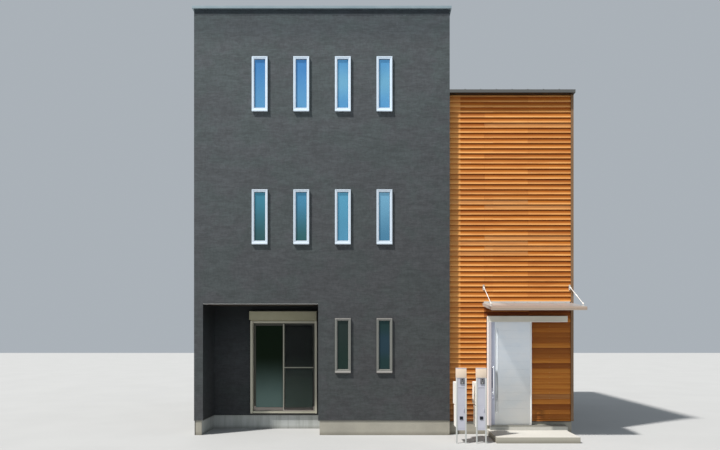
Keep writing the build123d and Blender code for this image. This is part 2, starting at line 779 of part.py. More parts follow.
def canopy_brackets():
    """The wall rail that the canopy butts against, two wall lugs and two canopy lugs."""
    y_wall = ENTRANCE_SETBACK
    top = CANOPY_TOP_AT_WALL + WALL_RAIL_RISE
    rail_x = (canopy_x + WALL_RAIL_INSET, canopy_right - WALL_RAIL_INSET)
    pieces = [block(*rail_x, y_wall - WALL_RAIL_DEPTH, y_wall, top - WALL_RAIL_HEIGHT, top)]
    (wall_y, wall_z), (tip_y, tip_z) = tie_ends()
    plate_front = y_wall - PLATE_THICKNESS
    foot_z = canopy_top_at(y_wall - tip_y)
    on_foot = (Align.CENTER, Align.CENTER, Align.MIN)
    for x in tie_xs():
        plate_x = (x - PLATE_WIDTH / 2, x + PLATE_WIDTH / 2)
        plate_z = (wall_z - PLATE_HEIGHT / 2, wall_z + PLATE_HEIGHT / 2)
        plate = block(*plate_x, plate_front, y_wall, *plate_z)
        pieces.append(plate + lug(x, wall_y, wall_z, plate_front, wall_z))
        foot = Pos(x, tip_y, foot_z) * Rot(canopy_slope, 0, 0)
        base = foot * Box(PLATE_WIDTH, PLATE_HEIGHT, PLATE_THICKNESS, align=on_foot)
        pieces.append(base + lug(x, tip_y, tip_z, tip_y, foot_z + PLATE_THICKNESS / 2))
    return pieces


def canopy_tie_rods():
    """Round rods, each with a fork and a pin at both ends."""
    (wall_y, wall_z), (tip_y, tip_z) = tie_ends()
    length = math.hypot(wall_y - tip_y, wall_z - tip_z)
    slope = math.degrees(math.atan2(wall_z - tip_z, wall_y - tip_y))
    gap = LUG_THICKNESS / 2 + SEAT_CLEARANCE
    rods = []
    for x in tie_xs():
        rod = Pos(0, length / 2, 0) * Rot(90, 0, 0) * Cylinder(TIE_DIAMETER / 2, length - 2 * FORK_LENGTH)
        for y, inward in ((0, 1), (length, -1)):
            near, far = y - inward * FORK_HEIGHT / 2, y + inward * FORK_LENGTH
            fork_y = sorted((near, far))
            fork = block(-gap - FORK_CHEEK, gap + FORK_CHEEK, *fork_y, -FORK_HEIGHT / 2, FORK_HEIGHT / 2)
            slot_y = sorted((near - inward, y + inward * (FORK_LENGTH - FORK_BODY)))
            fork -= block(-gap, gap, *slot_y, -FORK_HEIGHT, FORK_HEIGHT)
            rod += fork + rod_along_x(-gap - FORK_CHEEK, gap + FORK_CHEEK, y, 0, PIN_DIAMETER)
        rods.append(Pos(x, tip_y, tip_z) * Rot(slope, 0, 0) * rod)
    return rods


# Letter-box units
def post_frames():
    """Per unit: two posts to the ground and the panel between them."""
    units = []
    for x in unit_xs:
        right, back = x + UNIT_WIDTH, UNIT_FRONT + POST_SIZE
        unit = block(x, x + POST_SIZE, UNIT_FRONT, back, 0, LAMP_BOTTOM)
        unit += block(right - POST_SIZE, right, UNIT_FRONT, back, 0, LAMP_BOTTOM)
        panel_y = (UNIT_FRONT + PANEL_SETBACK, UNIT_FRONT + PANEL_SETBACK + PANEL_THICKNESS)
        unit += block(x + POST_SIZE, right - POST_SIZE, *panel_y, PANEL_BOTTOM, LAMP_BOTTOM)
        units.append(unit)
    return units


def post_boxes():
    """Letter box and parcel box behind each panel, fixed to the posts."""
    front = UNIT_FRONT + POST_SIZE
    boxes = ((LETTER_BOX, LETTER_BOX_DEPTH), (PARCEL_BOX, PARCEL_BOX_DEPTH))
    return [
        block(x + BOX_SIDE_GAP, x + UNIT_WIDTH - BOX_SIDE_GAP, front, front + depth, *heights)
        for x in unit_xs
        for heights, depth in boxes
    ]


def post_lamps():
    return [
        block(x, x + UNIT_WIDTH, UNIT_FRONT, UNIT_FRONT + LAMP_DEPTH, LAMP_BOTTOM, UNIT_TOP)
        for x in unit_xs
    ]


def post_intercoms():
    """Intercom near the top of each panel and a small socket cover near its foot."""
    face = UNIT_FRONT + PANEL_SETBACK
    pieces = []
    for x in unit_xs:
        middle = x + UNIT_WIDTH / 2
        call_x = middle + INTERCOM_OFFSET - INTERCOM_WIDTH / 2
        call_z = (INTERCOM_BOTTOM, INTERCOM_BOTTOM + INTERCOM_HEIGHT)
        pieces.append(block(call_x, call_x + INTERCOM_WIDTH, face - INTERCOM_DEPTH, face, *call_z))
        socket_x = middle - SOCKET_SIZE / 2
        socket_z = (SOCKET_BOTTOM, SOCKET_BOTTOM + SOCKET_SIZE)
        pieces.append(block(socket_x, socket_x + SOCKET_SIZE, face - SOCKET_DEPTH, face, *socket_z))
    return pieces


nodes = {
    "main_foundation": main_foundation(),
    "ground_floor": ground_floor(),
    "second_floor": second_floor(),
    "third_floor": third_floor(),
    "main_roof": main_roof(),
    "main_coping": main_coping(),
    "front_wall_upper": front_wall_upper(),
    "front_wall_lower": front_wall_lower(),
    "left_wall": left_wall(),
    "side_wall_upper": side_wall_upper(),
    "back_wall": back_wall(),
    "recess_wall_left": recess_wall_left(),
    "recess_wall_over": recess_wall_over(),
    "recess_side_wall": recess_side_wall(),
    "recess_soffit": recess_soffit(),
    "front_window_frames": window_set(window_frame),
    "front_window_glass": window_set(window_pane),
    "back_window_frames": back_window_set(window_frame),
    "back_window_glass": back_window_set(window_pane),
    "patio_frame": patio_frame(),
    "shutter_box": shutter_box(),
    "patio_sash_left": sash(*left_sash),
    "patio_glass_left": sash_glass(*left_sash),
    "patio_sash_right": sash(*right_sash),
    "patio_glass_right": sash_glass(*right_sash),
    "insect_screen": insect_screen(),
    "entrance_foundation": entrance_foundation(),
    "hall_floor": hall_floor(),
    "entrance_wall_left": entrance_wall_left(),
    "entrance_wall_over": entrance_wall_over(),
    "entrance_wall_right": entrance_wall_right(),
    "entrance_side_wall": entrance_side_wall(),
    "entrance_back_wall": entrance_back_wall(),
    "entrance_roof": entrance_roof(),
    "entrance_eave": entrance_eave(),
    "wood_cladding": wood_cladding(),
    "corner_trim": corner_trim(),
    "door_leaf": door_leaf(),
    "door_glass": door_glass(),
    "door_handle": door_handle(),
    "door_hangers": door_hangers(),
    "door_rail_box": door_rail_box(),
    "door_jamb": door_jamb(),
    "entrance_step": entrance_step(),
    "canopy_panel": canopy_panel(),
    "canopy_brackets": canopy_brackets(),
    "canopy_tie_rods": canopy_tie_rods(),
    "post_frames": post_frames(),
    "post_boxes": post_boxes(),
    "post_lamps": post_lamps(),
    "post_intercoms": post_intercoms(),
}

# The part's own frame: origin on the ground, under the middle of everything
shapes = {name: Compound(children=p) if isinstance(p, list) else p for name, p in nodes.items()}
boxes = [shape.bounding_box() for shape in shapes.values()]
middle_x = (min(b.min.X for b in boxes) + max(b.max.X for b in boxes)) / 2
middle_y = (min(b.min.Y for b in boxes) + max(b.max.Y for b in boxes)) / 2
os.makedirs("parts", exist_ok=True)
for name, shape in shapes.items():
    export_step(Pos(-middle_x, -middle_y, 0) * shape, f"parts/{name}.step")
print(f"origin at site X {middle_x:.1f} mm, Y {middle_y:.1f} mm")
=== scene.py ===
import math
from functools import cached_property

import bmesh
import bpy
from mathutils import Matrix, Vector


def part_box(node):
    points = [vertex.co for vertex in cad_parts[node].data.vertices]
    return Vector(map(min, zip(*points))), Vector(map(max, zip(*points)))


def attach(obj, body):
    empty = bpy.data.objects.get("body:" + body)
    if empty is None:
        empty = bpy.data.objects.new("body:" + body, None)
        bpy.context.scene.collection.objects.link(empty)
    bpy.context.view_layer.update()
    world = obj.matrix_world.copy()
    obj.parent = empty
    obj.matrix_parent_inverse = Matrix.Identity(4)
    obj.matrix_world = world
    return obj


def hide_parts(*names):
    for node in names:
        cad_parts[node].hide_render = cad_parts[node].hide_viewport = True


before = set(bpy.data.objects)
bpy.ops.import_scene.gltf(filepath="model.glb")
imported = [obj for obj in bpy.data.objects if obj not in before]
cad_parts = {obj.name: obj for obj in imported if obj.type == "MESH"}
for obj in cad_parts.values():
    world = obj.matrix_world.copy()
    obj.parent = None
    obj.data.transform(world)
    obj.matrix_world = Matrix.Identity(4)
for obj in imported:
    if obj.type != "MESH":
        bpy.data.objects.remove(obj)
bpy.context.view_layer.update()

bl_info = {
    "name": "Two-generation house",
    "version": (1, 0, 0),
    "blender": (4, 5, 0),
    "location": "View3D > Sidebar > House",
    "description": "Dresses the house with its render, boards, windows, doors, canopy and letter boxes",
    "category": "Object",
}

# Sizes below are metres on the site: X from the main block's left face, Y back from its front, Z from the ground.
SITE = Vector((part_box("left_wall")[0][0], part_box("left_wall")[0][1], 0.0))
HOUSE_RIGHT = 8.37
HOUSE_BACK = 7.45
HOUSE_HEIGHT = 9.4
BASE_TOP = 0.32
WALL = 0.195
RECESS_RIGHT = 2.729
MAIN_RIGHT = 5.62
SIDE_WALL_FRONT = 0.2
HEADER = 2.89
HALL_FLOOR = 0.212
WINDOW_XS = [1.2765 + 0.912 * column for column in range(4)]
WINDOW_ZS = (1.37, 4.192, 7.11)
DOORWAY = (6.605, 7.38, 2.44)
LEAF = ((6.545, 7.436), (0.05, 0.092), (0.222, 2.502))
LOCK_STILE = 0.034
LEAF_TO_BOX = 2.48
SLIT = ((6.629, 6.687), (0.5, 2.36))
RAIL_BOX = ((6.461, 8.216), (0.026, 0.13), (2.488, 2.62))
BOARDS = ((5.62, 8.324), (0.13, 0.152), (0.29, 7.534))
FIRST_BUTT = 0.326
BOARD_PITCH = 0.1137
UNIT_XS = (5.628, 6.036)
UNIT_WIDTH = 0.214
UNIT_FRONT = -1.0
SIDE_SCREW = [(0.004, -0.001), (0.004, 0.0012), (0.0025, 0.002)]
SHARP = math.radians(26)
EASED_FROM = 0.5
PLACE = {"X": lambda a, b, w: (w, a, b), "Y": lambda a, b, w: (a, w, b), "Z": lambda a, b, w: (a, b, w)}
TREES = {}
MATERIALS = {}


def site_box(node):
    """Lowest and highest corners of a CAD node, on the site."""
    low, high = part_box(node)
    return Vector(low) - SITE, Vector(high) - SITE


def site_spans(node):
    """The ranges of X, Y and Z that a CAD node fills, on the site."""
    low, high = site_box(node)
    return (low.x, high.x), (low.y, high.y), (low.z, high.z)


def wider(span, by):
    """A range that is longer at both ends, or shorter where the length is below 0."""
    return span[0] - by, span[1] + by


def round_about(middle, half):
    """A range with its middle and half of its length."""
    return middle - half, middle + half


def signed_area(outline):
    """Twice the area of an outline, over 0 where it runs anticlockwise."""
    return sum(a[0] * b[1] - b[0] * a[1] for a, b in zip(outline, outline[1:] + outline[:1]))


def ring_faces(count, rings):
    """The two caps and the sides of a form whose rings have count points each."""
    faces = [list(range(count))[::-1], [(rings - 1) * count + k for k in range(count)]]
    for i in range(0, (rings - 1) * count, count):
        faces += [(i + k, i + (k + 1) % count, i + count + (k + 1) % count, i + count + k) for k in range(count)]
    return faces


def circle(sides):
    """The angles of points set evenly round a circle."""
    return [2 * math.pi * k / sides for k in range(sides)]


class Solid:
    """Gathers closed shapes, given in metres on the site, into the mesh of one piece."""

    def __init__(self):
        self.points = []
        self.faces = []

    def add(self, points, faces):
        start = len(self.points)
        self.points += [tuple(p) for p in points]
        self.faces += [[start + i for i in face] for face in faces]
        return self

    def shape(self, points, faces, bevel, segments=1):
        """Adds one closed shape, with its edges eased by bevel."""
        if not bevel:
            return self.add(points, faces)
        mesh = bmesh.new()
        made = [mesh.verts.new(p) for p in points]
        for face in faces:
            mesh.faces.new([made[i] for i in face])
        mesh.normal_update()
        edges = [e for e in mesh.edges if e.is_manifold and e.calc_face_angle() > EASED_FROM]
        bmesh.ops.bevel(mesh, geom=edges, offset=bevel, segments=segments, profile=0.5, affect="EDGES",
                        clamp_overlap=True)
        mesh.verts.ensure_lookup_table()
        mesh.verts.index_update()
        self.add([v.co for v in mesh.verts], [[v.index for v in f.verts] for f in mesh.faces])
        mesh.free()
        return self

    def block(self, x, y, z, bevel=0.0, segments=1):
        points = [(a, b, c) for c in z for b in y for a in x]
        faces = [(0, 2, 3, 1), (4, 5, 7, 6), (0, 1, 5, 4), (2, 6, 7, 3), (0, 4, 6, 2), (1, 3, 7, 5)]
        return self.shape(points, faces, bevel, segments)

    def blocks(self, bevel, *spans):
        for x, y, z in spans:
            self.block(x, y, z, bevel)
        return self

    def prism(self, outline, axis, low, high, bevel=0.0):
        """Pushes an outline along an axis. It is (Y, Z) along X, (X, Z) along Y and (X, Y) along Z."""
        if signed_area(outline) < 0:
            outline = outline[::-1]
        if axis == "Y":
            low, high = high, low
        points = [PLACE[axis](a, b, w) for w in (low, high) for a, b in outline]
        return self.shape(points, ring_faces(len(outline), 2), bevel)

    def frame(self, u, v, profile, axis="Y", depth=0.0):
        """A mitred frame round a rectangle. The profile is a closed outline of (inset, distance behind the depth)."""
        points = [PLACE[axis](u[i] + inset * (1 - 2 * i), v[j] + inset * (1 - 2 * j), depth + behind)
                  for i, j in ((0, 0), (1, 0), (1, 1), (0, 1)) for inset, behind in profile]
        count = len(profile)
        faces = []
        for near in range(0, 4 * count, count):
            far = (near + count) % (4 * count)
            faces += [[near + i, near + (i + 1) % count, far + (i + 1) % count, far + i] for i in range(count)]
        if (signed_area(profile) > 0) != (axis == "Y"):
            faces = [face[::-1] for face in faces]
        return self.add(points, faces)

    def tube(self, path, radius, sides=16):
        """A round bar along a path of points, with one radius or one for each point."""
        path = [Vector(p) for p in path]
        radii = radius if isinstance(radius, list) else [radius] * len(path)
        points = []
        side = None
        for i, point in enumerate(path):
            way = (path[min(i + 1, len(path) - 1)] - path[max(i - 1, 0)]).normalized()
            if side is None:
                side = way.cross(Vector((0, 0, 1) if abs(way.z) < 0.9 else (1, 0, 0))).normalized()
            side = (side - way * side.dot(way)).normalized()
            up = way.cross(side)
            points += [point + (side * math.cos(t) + up * math.sin(t)) * radii[i] for t in circle(sides)]
        return self.add(points, ring_faces(sides, len(path)))

    def turned(self, outline, axis="Y", sides=20, centre=(0, 0, 0)):
        """Turns an outline of (radius, distance along the axis) round the axis, and caps its ends."""
        first = "XYZ".index(axis)
        a, b, w = (Matrix.Identity(3).row[(first + step) % 3].copy() for step in (1, 2, 0))
        points = [Vector(centre) + (a * math.cos(t) + b * math.sin(t)) * radius + w * along
                  for radius, along in outline for t in circle(sides)]
        faces = ring_faces(sides, len(outline))
        if outline[-1][1] < outline[0][1]:
            faces = [tuple(face)[::-1] for face in faces]
        return self.add(points, faces)

    def mesh(self, name, shift=SITE):
        made = bpy.data.meshes.new(name)
        made.from_pydata([tuple(Vector(p) + shift) for p in self.points], [], self.faces)
        made.update()
        made.shade_smooth()
        made.set_sharp_from_angle(angle=SHARP)
        return made


def link(name, data):
    """A new object in the scene."""
    made = bpy.data.objects.new(name, data)
    bpy.context.scene.collection.objects.link(made)
    return made


def piece(name, solid, material, replaces=(), body="house"):
    """Makes a finished piece of a solid or a mesh, and ties it to its body and what it replaces."""
    mesh = solid.mesh(name) if isinstance(solid, Solid) else solid
    made = link(name, mesh)
    if material is not None:
        mesh.materials.clear()
        mesh.materials.append(material)
    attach(made, body)
    if replaces:
        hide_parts(*replaces)


def mark_painted_light(mesh, *spans):
    """Marks the faces that get painted light on the dark sash coating: each span is a range of X, one of Z, and its
    share.
    """
    marks = mesh.attributes.new("pale", "FLOAT", "FACE").data
    for face in mesh.polygons:
        spot = face.center - SITE
        for (a, b), (c, d), share in spans:
            if a < spot.x < b and c < spot.z < d:
                marks[face.index].value = share


def coat(material, *nodes):
    """Gives CAD nodes, whose shape stays, their finish."""
    for node in nodes:
        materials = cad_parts[node].data.materials
        materials.clear()
        materials.append(material)


# The nodes of shapes and materials
def sum_of(operation, turned=False):
    """A method of Val that adds a Math node. Where it is turned, the other number comes first."""
    def method(self, *other):
        numbers = (*other, self) if turned else (self, *other)
        return self.tree.add("ShaderNodeMath", {"operation": operation}, dict(enumerate(numbers)))
    return method


class Val:
    """What a node gives. Where it is a number, its sums are written as plain Python."""

    def __init__(self, tree, socket):
        self.tree = tree
        self.socket = socket

    __add__ = __radd__ = sum_of("ADD")
    __sub__, __rsub__ = sum_of("SUBTRACT"), sum_of("SUBTRACT", True)
    __mul__ = __rmul__ = sum_of("MULTIPLY")
    __truediv__, __rtruediv__ = sum_of("DIVIDE"), sum_of("DIVIDE", True)
    __mod__, __abs__ = sum_of("FLOORED_MODULO"), sum_of("ABSOLUTE")
    __gt__, __lt__ = sum_of("GREATER_THAN"), sum_of("LESS_THAN")
    floor, most = sum_of("FLOOR"), sum_of("MAXIMUM")

    def ramp(self, low, high, start=0.0, end=1.0):
        """Runs smoothly from start to end while the value goes from low to high."""
        return self.tree.add("ShaderNodeMapRange", {"interpolation_type": "SMOOTHSTEP"},
                             {0: self, 1: low, 2: high, 3: start, 4: end})


class Nodes:
    """What the trees of the shapes and of the materials share."""

    def add(self, kind, settings=None, inputs=None, output=0):
        """Adds a node: its settings first, then the values or links of its sockets."""
        node = self.nodes.new(kind)
        for key, value in (settings or {}).items():
            setattr(node, key, value)
        for key, value in (inputs or {}).items():
            if isinstance(value, Val):
                self.links.new(value.socket, node.inputs[key])
            else:
                node.inputs[key].default_value = value
        return Val(self, node.outputs[output]) if len(node.outputs) else None

    def apart(self, vector):
        node = self.add("ShaderNodeSeparateXYZ", None, {0: vector}).socket.node
        return [Val(self, out) for out in node.outputs]


class Tree(Nodes):
    """A Geometry Nodes group with named inputs, that ends in Realize Instances and Set Material."""

    def __init__(self, name, inputs):
        self.group = bpy.data.node_groups.new(name, "GeometryNodeTree")
        self.nodes, self.links = self.group.nodes, self.group.links
        face = self.group.interface
        face.new_socket(name="Geometry", in_out="INPUT", socket_type="NodeSocketGeometry")
        for label, kind, default in inputs + [("Material", "Material", None)]:
            socket = face.new_socket(name=label, in_out="INPUT", socket_type="NodeSocket" + kind)
            if default is not None:
                socket.default_value = default
        face.new_socket(name="Geometry", in_out="OUTPUT", socket_type="NodeSocketGeometry")
        self.source = self.nodes.new("NodeGroupInput")

    def input(self, label):
        return Val(self, self.source.outputs[label])

    def template(self):
        return self.add("GeometryNodeObjectInfo", None, {"Object": self.input("Template")}, "Geometry")

    def own(self, name):
        """A number that each point carries."""
        return self.add("GeometryNodeInputNamedAttribute", {"data_type": "FLOAT"}, {"Name": name})

    def random(self, high, seed):
        """A number from 0 to high for each point."""
        return self.add("FunctionNodeRandomValue", {"data_type": "FLOAT"}, {2: 0.0, 3: high, "Seed": seed}, 1)

    def vector(self, **parts):
        return self.add("ShaderNodeCombineXYZ", None, parts)

    def end(self, geometry):
        real = self.add("GeometryNodeRealizeInstances", None, {0: geometry})
        painted = self.add("GeometryNodeSetMaterial", None, {0: real, "Material": self.input("Material")})
        self.add("NodeGroupOutput", None, {0: painted})
        return self.group


def rows_tree():
    """Repeats a template in rows and columns from a start point."""
    tree = Tree("Rows of a template", [
        ("Template", "Object", None), ("Start", "Vector", (0.0, 0.0, 0.0)), ("Step", "Vector", (0.1, 0.0, 0.0)),
        ("Count", "Int", 2), ("Row Step", "Vector", (0.0, 0.0, 0.1)), ("Rows", "Int", 1),
    ])
    line = tree.add("GeometryNodeMeshLine", {"mode": "OFFSET"}, {
        "Count": tree.input("Count"), "Start Location": tree.input("Start"), "Offset": tree.input("Step"),
    })
    rows = tree.add("GeometryNodeMeshLine", {"mode": "OFFSET"}, {
        "Count": tree.input("Rows"), "Offset": tree.input("Row Step"),
    })
    grid = tree.add("GeometryNodeInstanceOnPoints", None, {"Points": rows, "Instance": line})
    points = tree.add("GeometryNodeRealizeInstances", None, {0: grid})
    return tree.end(tree.add("GeometryNodeInstanceOnPoints", None, {"Points": points, "Instance": tree.template()}))


def places_tree():
    """Sets a template at each point of a mesh, turned about Z by the point's turn."""
    tree = Tree("A template at places", [("Template", "Object", None)])
    rotation = tree.add("FunctionNodeEulerToRotation", None, {0: tree.vector(Z=tree.own("turn"))})
    return tree.end(tree.add("GeometryNodeInstanceOnPoints", None, {
        "Points": tree.input("Geometry"), "Instance": tree.template(), "Rotation": rotation,
    }))


def lap_boards_tree():
    """Lap boards, one for each point of a mesh, as long as the point's length, each with its own tone."""
    tree = Tree("Lap boards", [
        ("Height", "Float", 0.114), ("Butt", "Float", 0.02), ("Tip", "Float", 0.002), ("Ease", "Float", 0.003),
        ("Sway", "Float", 0.001), ("Seed", "Int", 7),
    ])
    height, butt, tip, ease, sway, seed = (
        tree.input(label) for label in ("Height", "Butt", "Tip", "Ease", "Sway", "Seed"))
    cube = tree.add("GeometryNodeMeshCube", None, {"Size": (1.0, 1.0, 1.0), "Vertices Z": 3})
    x, y, z = tree.apart(tree.add("GeometryNodeInputPosition"))
    at_top, at_foot = z > 0.25, z < -0.25
    at_ease = 1.0 - (at_top + at_foot)
    out = at_top * tip + (at_ease * butt + at_foot * (butt - ease))
    spot = tree.vector(X=x + 0.5, Y=(y < 0.0) * out * -1.0, Z=at_top * height + at_ease * ease)
    board = tree.add("GeometryNodeSetPosition", None, {"Geometry": cube, "Position": spot})
    scale = tree.vector(X=tree.own("length"), Y=1.0, Z=tree.own("share"))
    moved = tree.add("GeometryNodeSetPosition", None, {
        "Geometry": tree.input("Geometry"), "Offset": tree.vector(Y=tree.random(sway, seed)),
    })
    placed = tree.add("GeometryNodeInstanceOnPoints", None, {"Points": moved, "Instance": board, "Scale": scale})
    return tree.end(tree.add("GeometryNodeStoreNamedAttribute", {"data_type": "FLOAT", "domain": "INSTANCE"}, {
        "Geometry": placed, "Name": "tone", "Value": tree.random(1.0, seed + 1.0),
    }))


def grown(tree, name, settings, points=None, values=None):
    """The plain mesh that a tree makes from its named inputs and, if given, points with their values."""
    base = bpy.data.meshes.new(name)
    if points:
        base.from_pydata([tuple(Vector(p) + SITE) for p in points], [], [])
        for label, numbers in values.items():
            base.attributes.new(label, "FLOAT", "POINT").data.foreach_set("value", numbers)
    holder = link(name + "_tree", base)
    modifier = holder.modifiers.new("tree", "NODES")
    modifier.node_group = tree
    for item in tree.interface.items_tree:
        if item.in_out == "INPUT" and item.name in settings:
            modifier[item.identifier] = settings[item.name]
    bpy.context.view_layer.update()
    graph = bpy.context.evaluated_depsgraph_get()
    mesh = bpy.data.meshes.new_from_object(
        holder.evaluated_get(graph), preserve_all_data_layers=True, depsgraph=graph)
    bpy.data.objects.remove(holder)
    mesh.name = name
    mesh.shade_smooth()
    mesh.set_sharp_from_angle(angle=SHARP)
    return mesh


def repeated(tree, name, solid, material, settings, points=None, values=None, replaces=(), body="house"):
    """Makes one piece of a solid that a tree repeats. The solid's own object is cleared away after that."""
    model = link(name + "_model", solid.mesh(name + "_model", Vector()))
    settings = {"Template": model, "Material": material, **settings}
    mesh = grown(TREES[tree], name, settings, points, values)
    bpy.data.objects.remove(model)
    piece(name, mesh, None, replaces, body)


def set_out(name, solid, material, places, replaces=()):
    """Repeats a solid at places of (x, y, z, turn), and makes them one piece."""
    repeated("places", name, solid, material, {}, [place[:3] for place in places],
             {"turn": [place[3] for place in places]}, replaces)


def in_rows(name, solid, material, start, step, count, row_step=(0, 0, 0), rows=1, body="house"):
    """Repeats a solid in rows and columns, and makes them one piece."""
    repeated("rows", name, solid, material, {
        "Start": tuple(Vector(start) + SITE), "Step": step, "Count": count, "Row Step": row_step, "Rows": rows,
    }, body=body)


# Materials
def linear(colour):
    """A colour from 0 to 255, as a paint chart gives it, as the linear one that a shader takes; a socket stays."""
    if not isinstance(colour, tuple):
        return colour
    channels = [c / 255 for c in colour]
    return tuple(c / 12.92 if c <= 0.04045 else ((c + 0.055) / 1.055) ** 2.4 for c in channels) + (1.0,)


class Finish(Nodes):
    """One material and its nodes."""

    def __init__(self, name):
        self.material = bpy.data.materials.new(name)
        self.material.use_nodes = True
        self.nodes = self.material.node_tree.nodes
        self.links = self.material.node_tree.links
        self.nodes.clear()
        self.places = self.add("ShaderNodeTexCoord", None, None, "Object")

    @cached_property
    def axes(self):
        """The X, Y and Z of the surface on the site."""
        return [value - shift if shift else value for value, shift in zip(self.apart(self.places), SITE)]

    x, y, z = (property(lambda self, axis=axis: self.axes[axis]) for axis in range(3))

    def upward(self):
        """The Z of the surface's own direction: 1 where it faces up and -1 where it faces down."""
        return self.apart(self.add("ShaderNodeTexCoord", None, None, "Normal"))[2]

    def own(self, name):
        """A number that the mesh carries."""
        return self.add("ShaderNodeAttribute", {"attribute_name": name}, None, "Fac")

    def stretched(self, scale, places=None):
        steps = scale if isinstance(scale, tuple) else (scale,) * 3
        return self.add("ShaderNodeMapping", None, {"Vector": places or self.places, "Scale": steps})

    def noise(self, scale, detail=3.0, roughness=0.5, distortion=0.0, places=None):
        """Cloudy variation with scale per metre along X, Y and Z."""
        return self.add("ShaderNodeTexNoise", None, {
            "Vector": self.stretched(scale, places), "Scale": 1.0, "Detail": detail, "Roughness": roughness,
            "Distortion": distortion,
        })

    def clouds(self):
        """The uneven tone of a coated sheet."""
        return self.noise(2.2, 3.0, 0.55)

    def drawn_lines(self):
        """The fine lines of a drawn or rolled metal, as its normal."""
        return self.bump(self.noise((6.0, 6.0, 320.0), 2.0, 0.5), 0.0004, 0.25)

    def cells(self, scale):
        return self.add("ShaderNodeTexVoronoi", None, {
            "Vector": self.stretched(scale), "Scale": 1.0, "Randomness": 1.0,
        })

    def random(self, value):
        """A number from 0 to 1 that depends only on the value."""
        return self.add("ShaderNodeTexWhiteNoise", {"noise_dimensions": "1D"}, {"W": value})

    def blend(self, factor, a, b, way="MIX"):
        """Colour a where the factor is 0 and b where it is 1."""
        settings = {"data_type": "RGBA", "blend_type": way}
        return self.add("ShaderNodeMix", settings, {0: factor, 6: linear(a), 7: linear(b)}, 2)

    def tint(self, colour, *steps):
        """The colour, multiplied at each step of (factor, other) by the other as far as the factor goes."""
        for factor, other in steps:
            colour = self.blend(factor, colour, other, "MULTIPLY")
        return colour

    def bump(self, height, distance, strength=1.0):
        return self.add("ShaderNodeBump", None, {"Height": height, "Distance": distance, "Strength": strength})

    def finish(self, base, roughness, **others):
        """Ends the material in its shader. The others are sockets by name, with _ for a space."""
        inputs = {"Base Color": base, "Roughness": roughness}
        inputs.update({name.replace("_", " "): value for name, value in others.items()})
        shader = self.add("ShaderNodeBsdfPrincipled", None, inputs)
        self.add("ShaderNodeOutputMaterial", None, {"Surface": shader})
        return self.material


def once(make):
    """Makes a material the first time that it is asked for, under its row's name if it comes from a table."""
    def ask(*name):
        key = name[0] if name else make.__name__
        if key not in MATERIALS:
            MATERIALS[key] = make(Finish(key), *name)
        return MATERIALS[key]
    return ask


@once
def trowelled_render(f):
    """Dark acrylic render with short level trowel strokes outside, and pale lining on the rooms' side. Outside it is
    painted lighter to the upper left as painted light, darker in the recess as painted shade, darker towards the
    coping, and with a painted shadow under the coping.
    """
    strokes = f.noise((4.5, 4.5, 22.0), 6.0, 0.72, 0.9)
    dabs = f.noise((22.0, 22.0, 9.0), 3.0, 0.6, 0.4)
    swathes = f.noise((2.6, 2.6, 5.5), 4.0, 0.66, 0.6)
    grit = f.noise((55.0, 55.0, 90.0), 3.0, 0.6)
    hue = f.noise((1.4, 1.4, 1.8), 4.0, 0.62)
    # Painted light: the render is painted lighter towards the top and the left, and darker low on the right, for how
    # the light falls.
    painted_light_fall = (f.z / HOUSE_HEIGHT) * 0.8 + (1.0 - f.x / MAIN_RIGHT) * 0.2
    grey = f.blend(painted_light_fall.ramp(0.1, 0.95), (68, 71, 73), (84, 92, 96))
    grey = f.blend(hue.ramp(0.42, 0.6, 0.0, 0.5), grey, f.tint(grey, (1.0, (238, 250, 244))))
    grey = f.tint(
        grey,
        (hue.ramp(0.56, 0.4, 0.0, 0.5), (246, 236, 240)),
        (swathes.ramp(0.38, 0.62, 0.0, 0.4), (204, 206, 206)),
        (strokes.ramp(0.38, 0.62, 0.0, 0.6), (200, 200, 200)),
        (dabs.ramp(0.4, 0.64, 0.0, 0.35), (206, 206, 206)),
    )
    grey = f.blend(grit.ramp(0.55, 0.8, 0.0, 0.12), grey, (132, 134, 132))
    recess = (f.x > 0.19) * (f.x < 2.74) * (f.y > 0.01) * (f.y < 0.93) * (f.z < 2.9)
    front = f.y < 0.01
    # Painted shadow under the coping: a band with a ragged lower edge on the front.
    lip = (f.z + dabs * 0.03 + swathes * 0.09) > 9.28
    grey = f.tint(
        grey,
        # painted shade in the recess, darkest towards its top under the header
        (recess * f.z.ramp(1.3, 2.75, 0.45, 1.0), (130, 144, 152)),
        (recess * f.z.ramp(2.3, 2.8, 0.0, 0.6), (170, 158, 150)),
        # the front is darker towards the coping above 8.5 m
        (f.z.ramp(8.5, 9.0) * front, (225, 232, 235)),
        # painted shadow under the coping
        (lip * front * 0.9, (184, 190, 200)),
    )
    inside = inner_side(f.x, f.y, f.z)
    colour = f.blend(inside, grey, (226, 222, 214))
    height = strokes * 0.7 + grit * 0.3
    return f.finish(colour, 0.86 - grit * 0.1, Normal=f.bump(height * (1.0 - inside * 0.9), 0.004, 0.55))


def inner_side(x, y, z):
    """1 on the faces that look into the rooms."""
    main = (x > 0.19) * (x < 8.18) * (y > 0.19) * (y < 7.26)
    upper = 1.0 - (x > 5.61) * (z > 6.2)
    recess = (x > 0.19) * (x < 2.74) * (y < 0.91) * (z < 2.95)
    parapet = z > 8.69
    entrance_front = (x > 5.61) * (y < 0.32)
    return main * upper * (1.0 - recess) * (1.0 - parapet) * (1.0 - entrance_front)


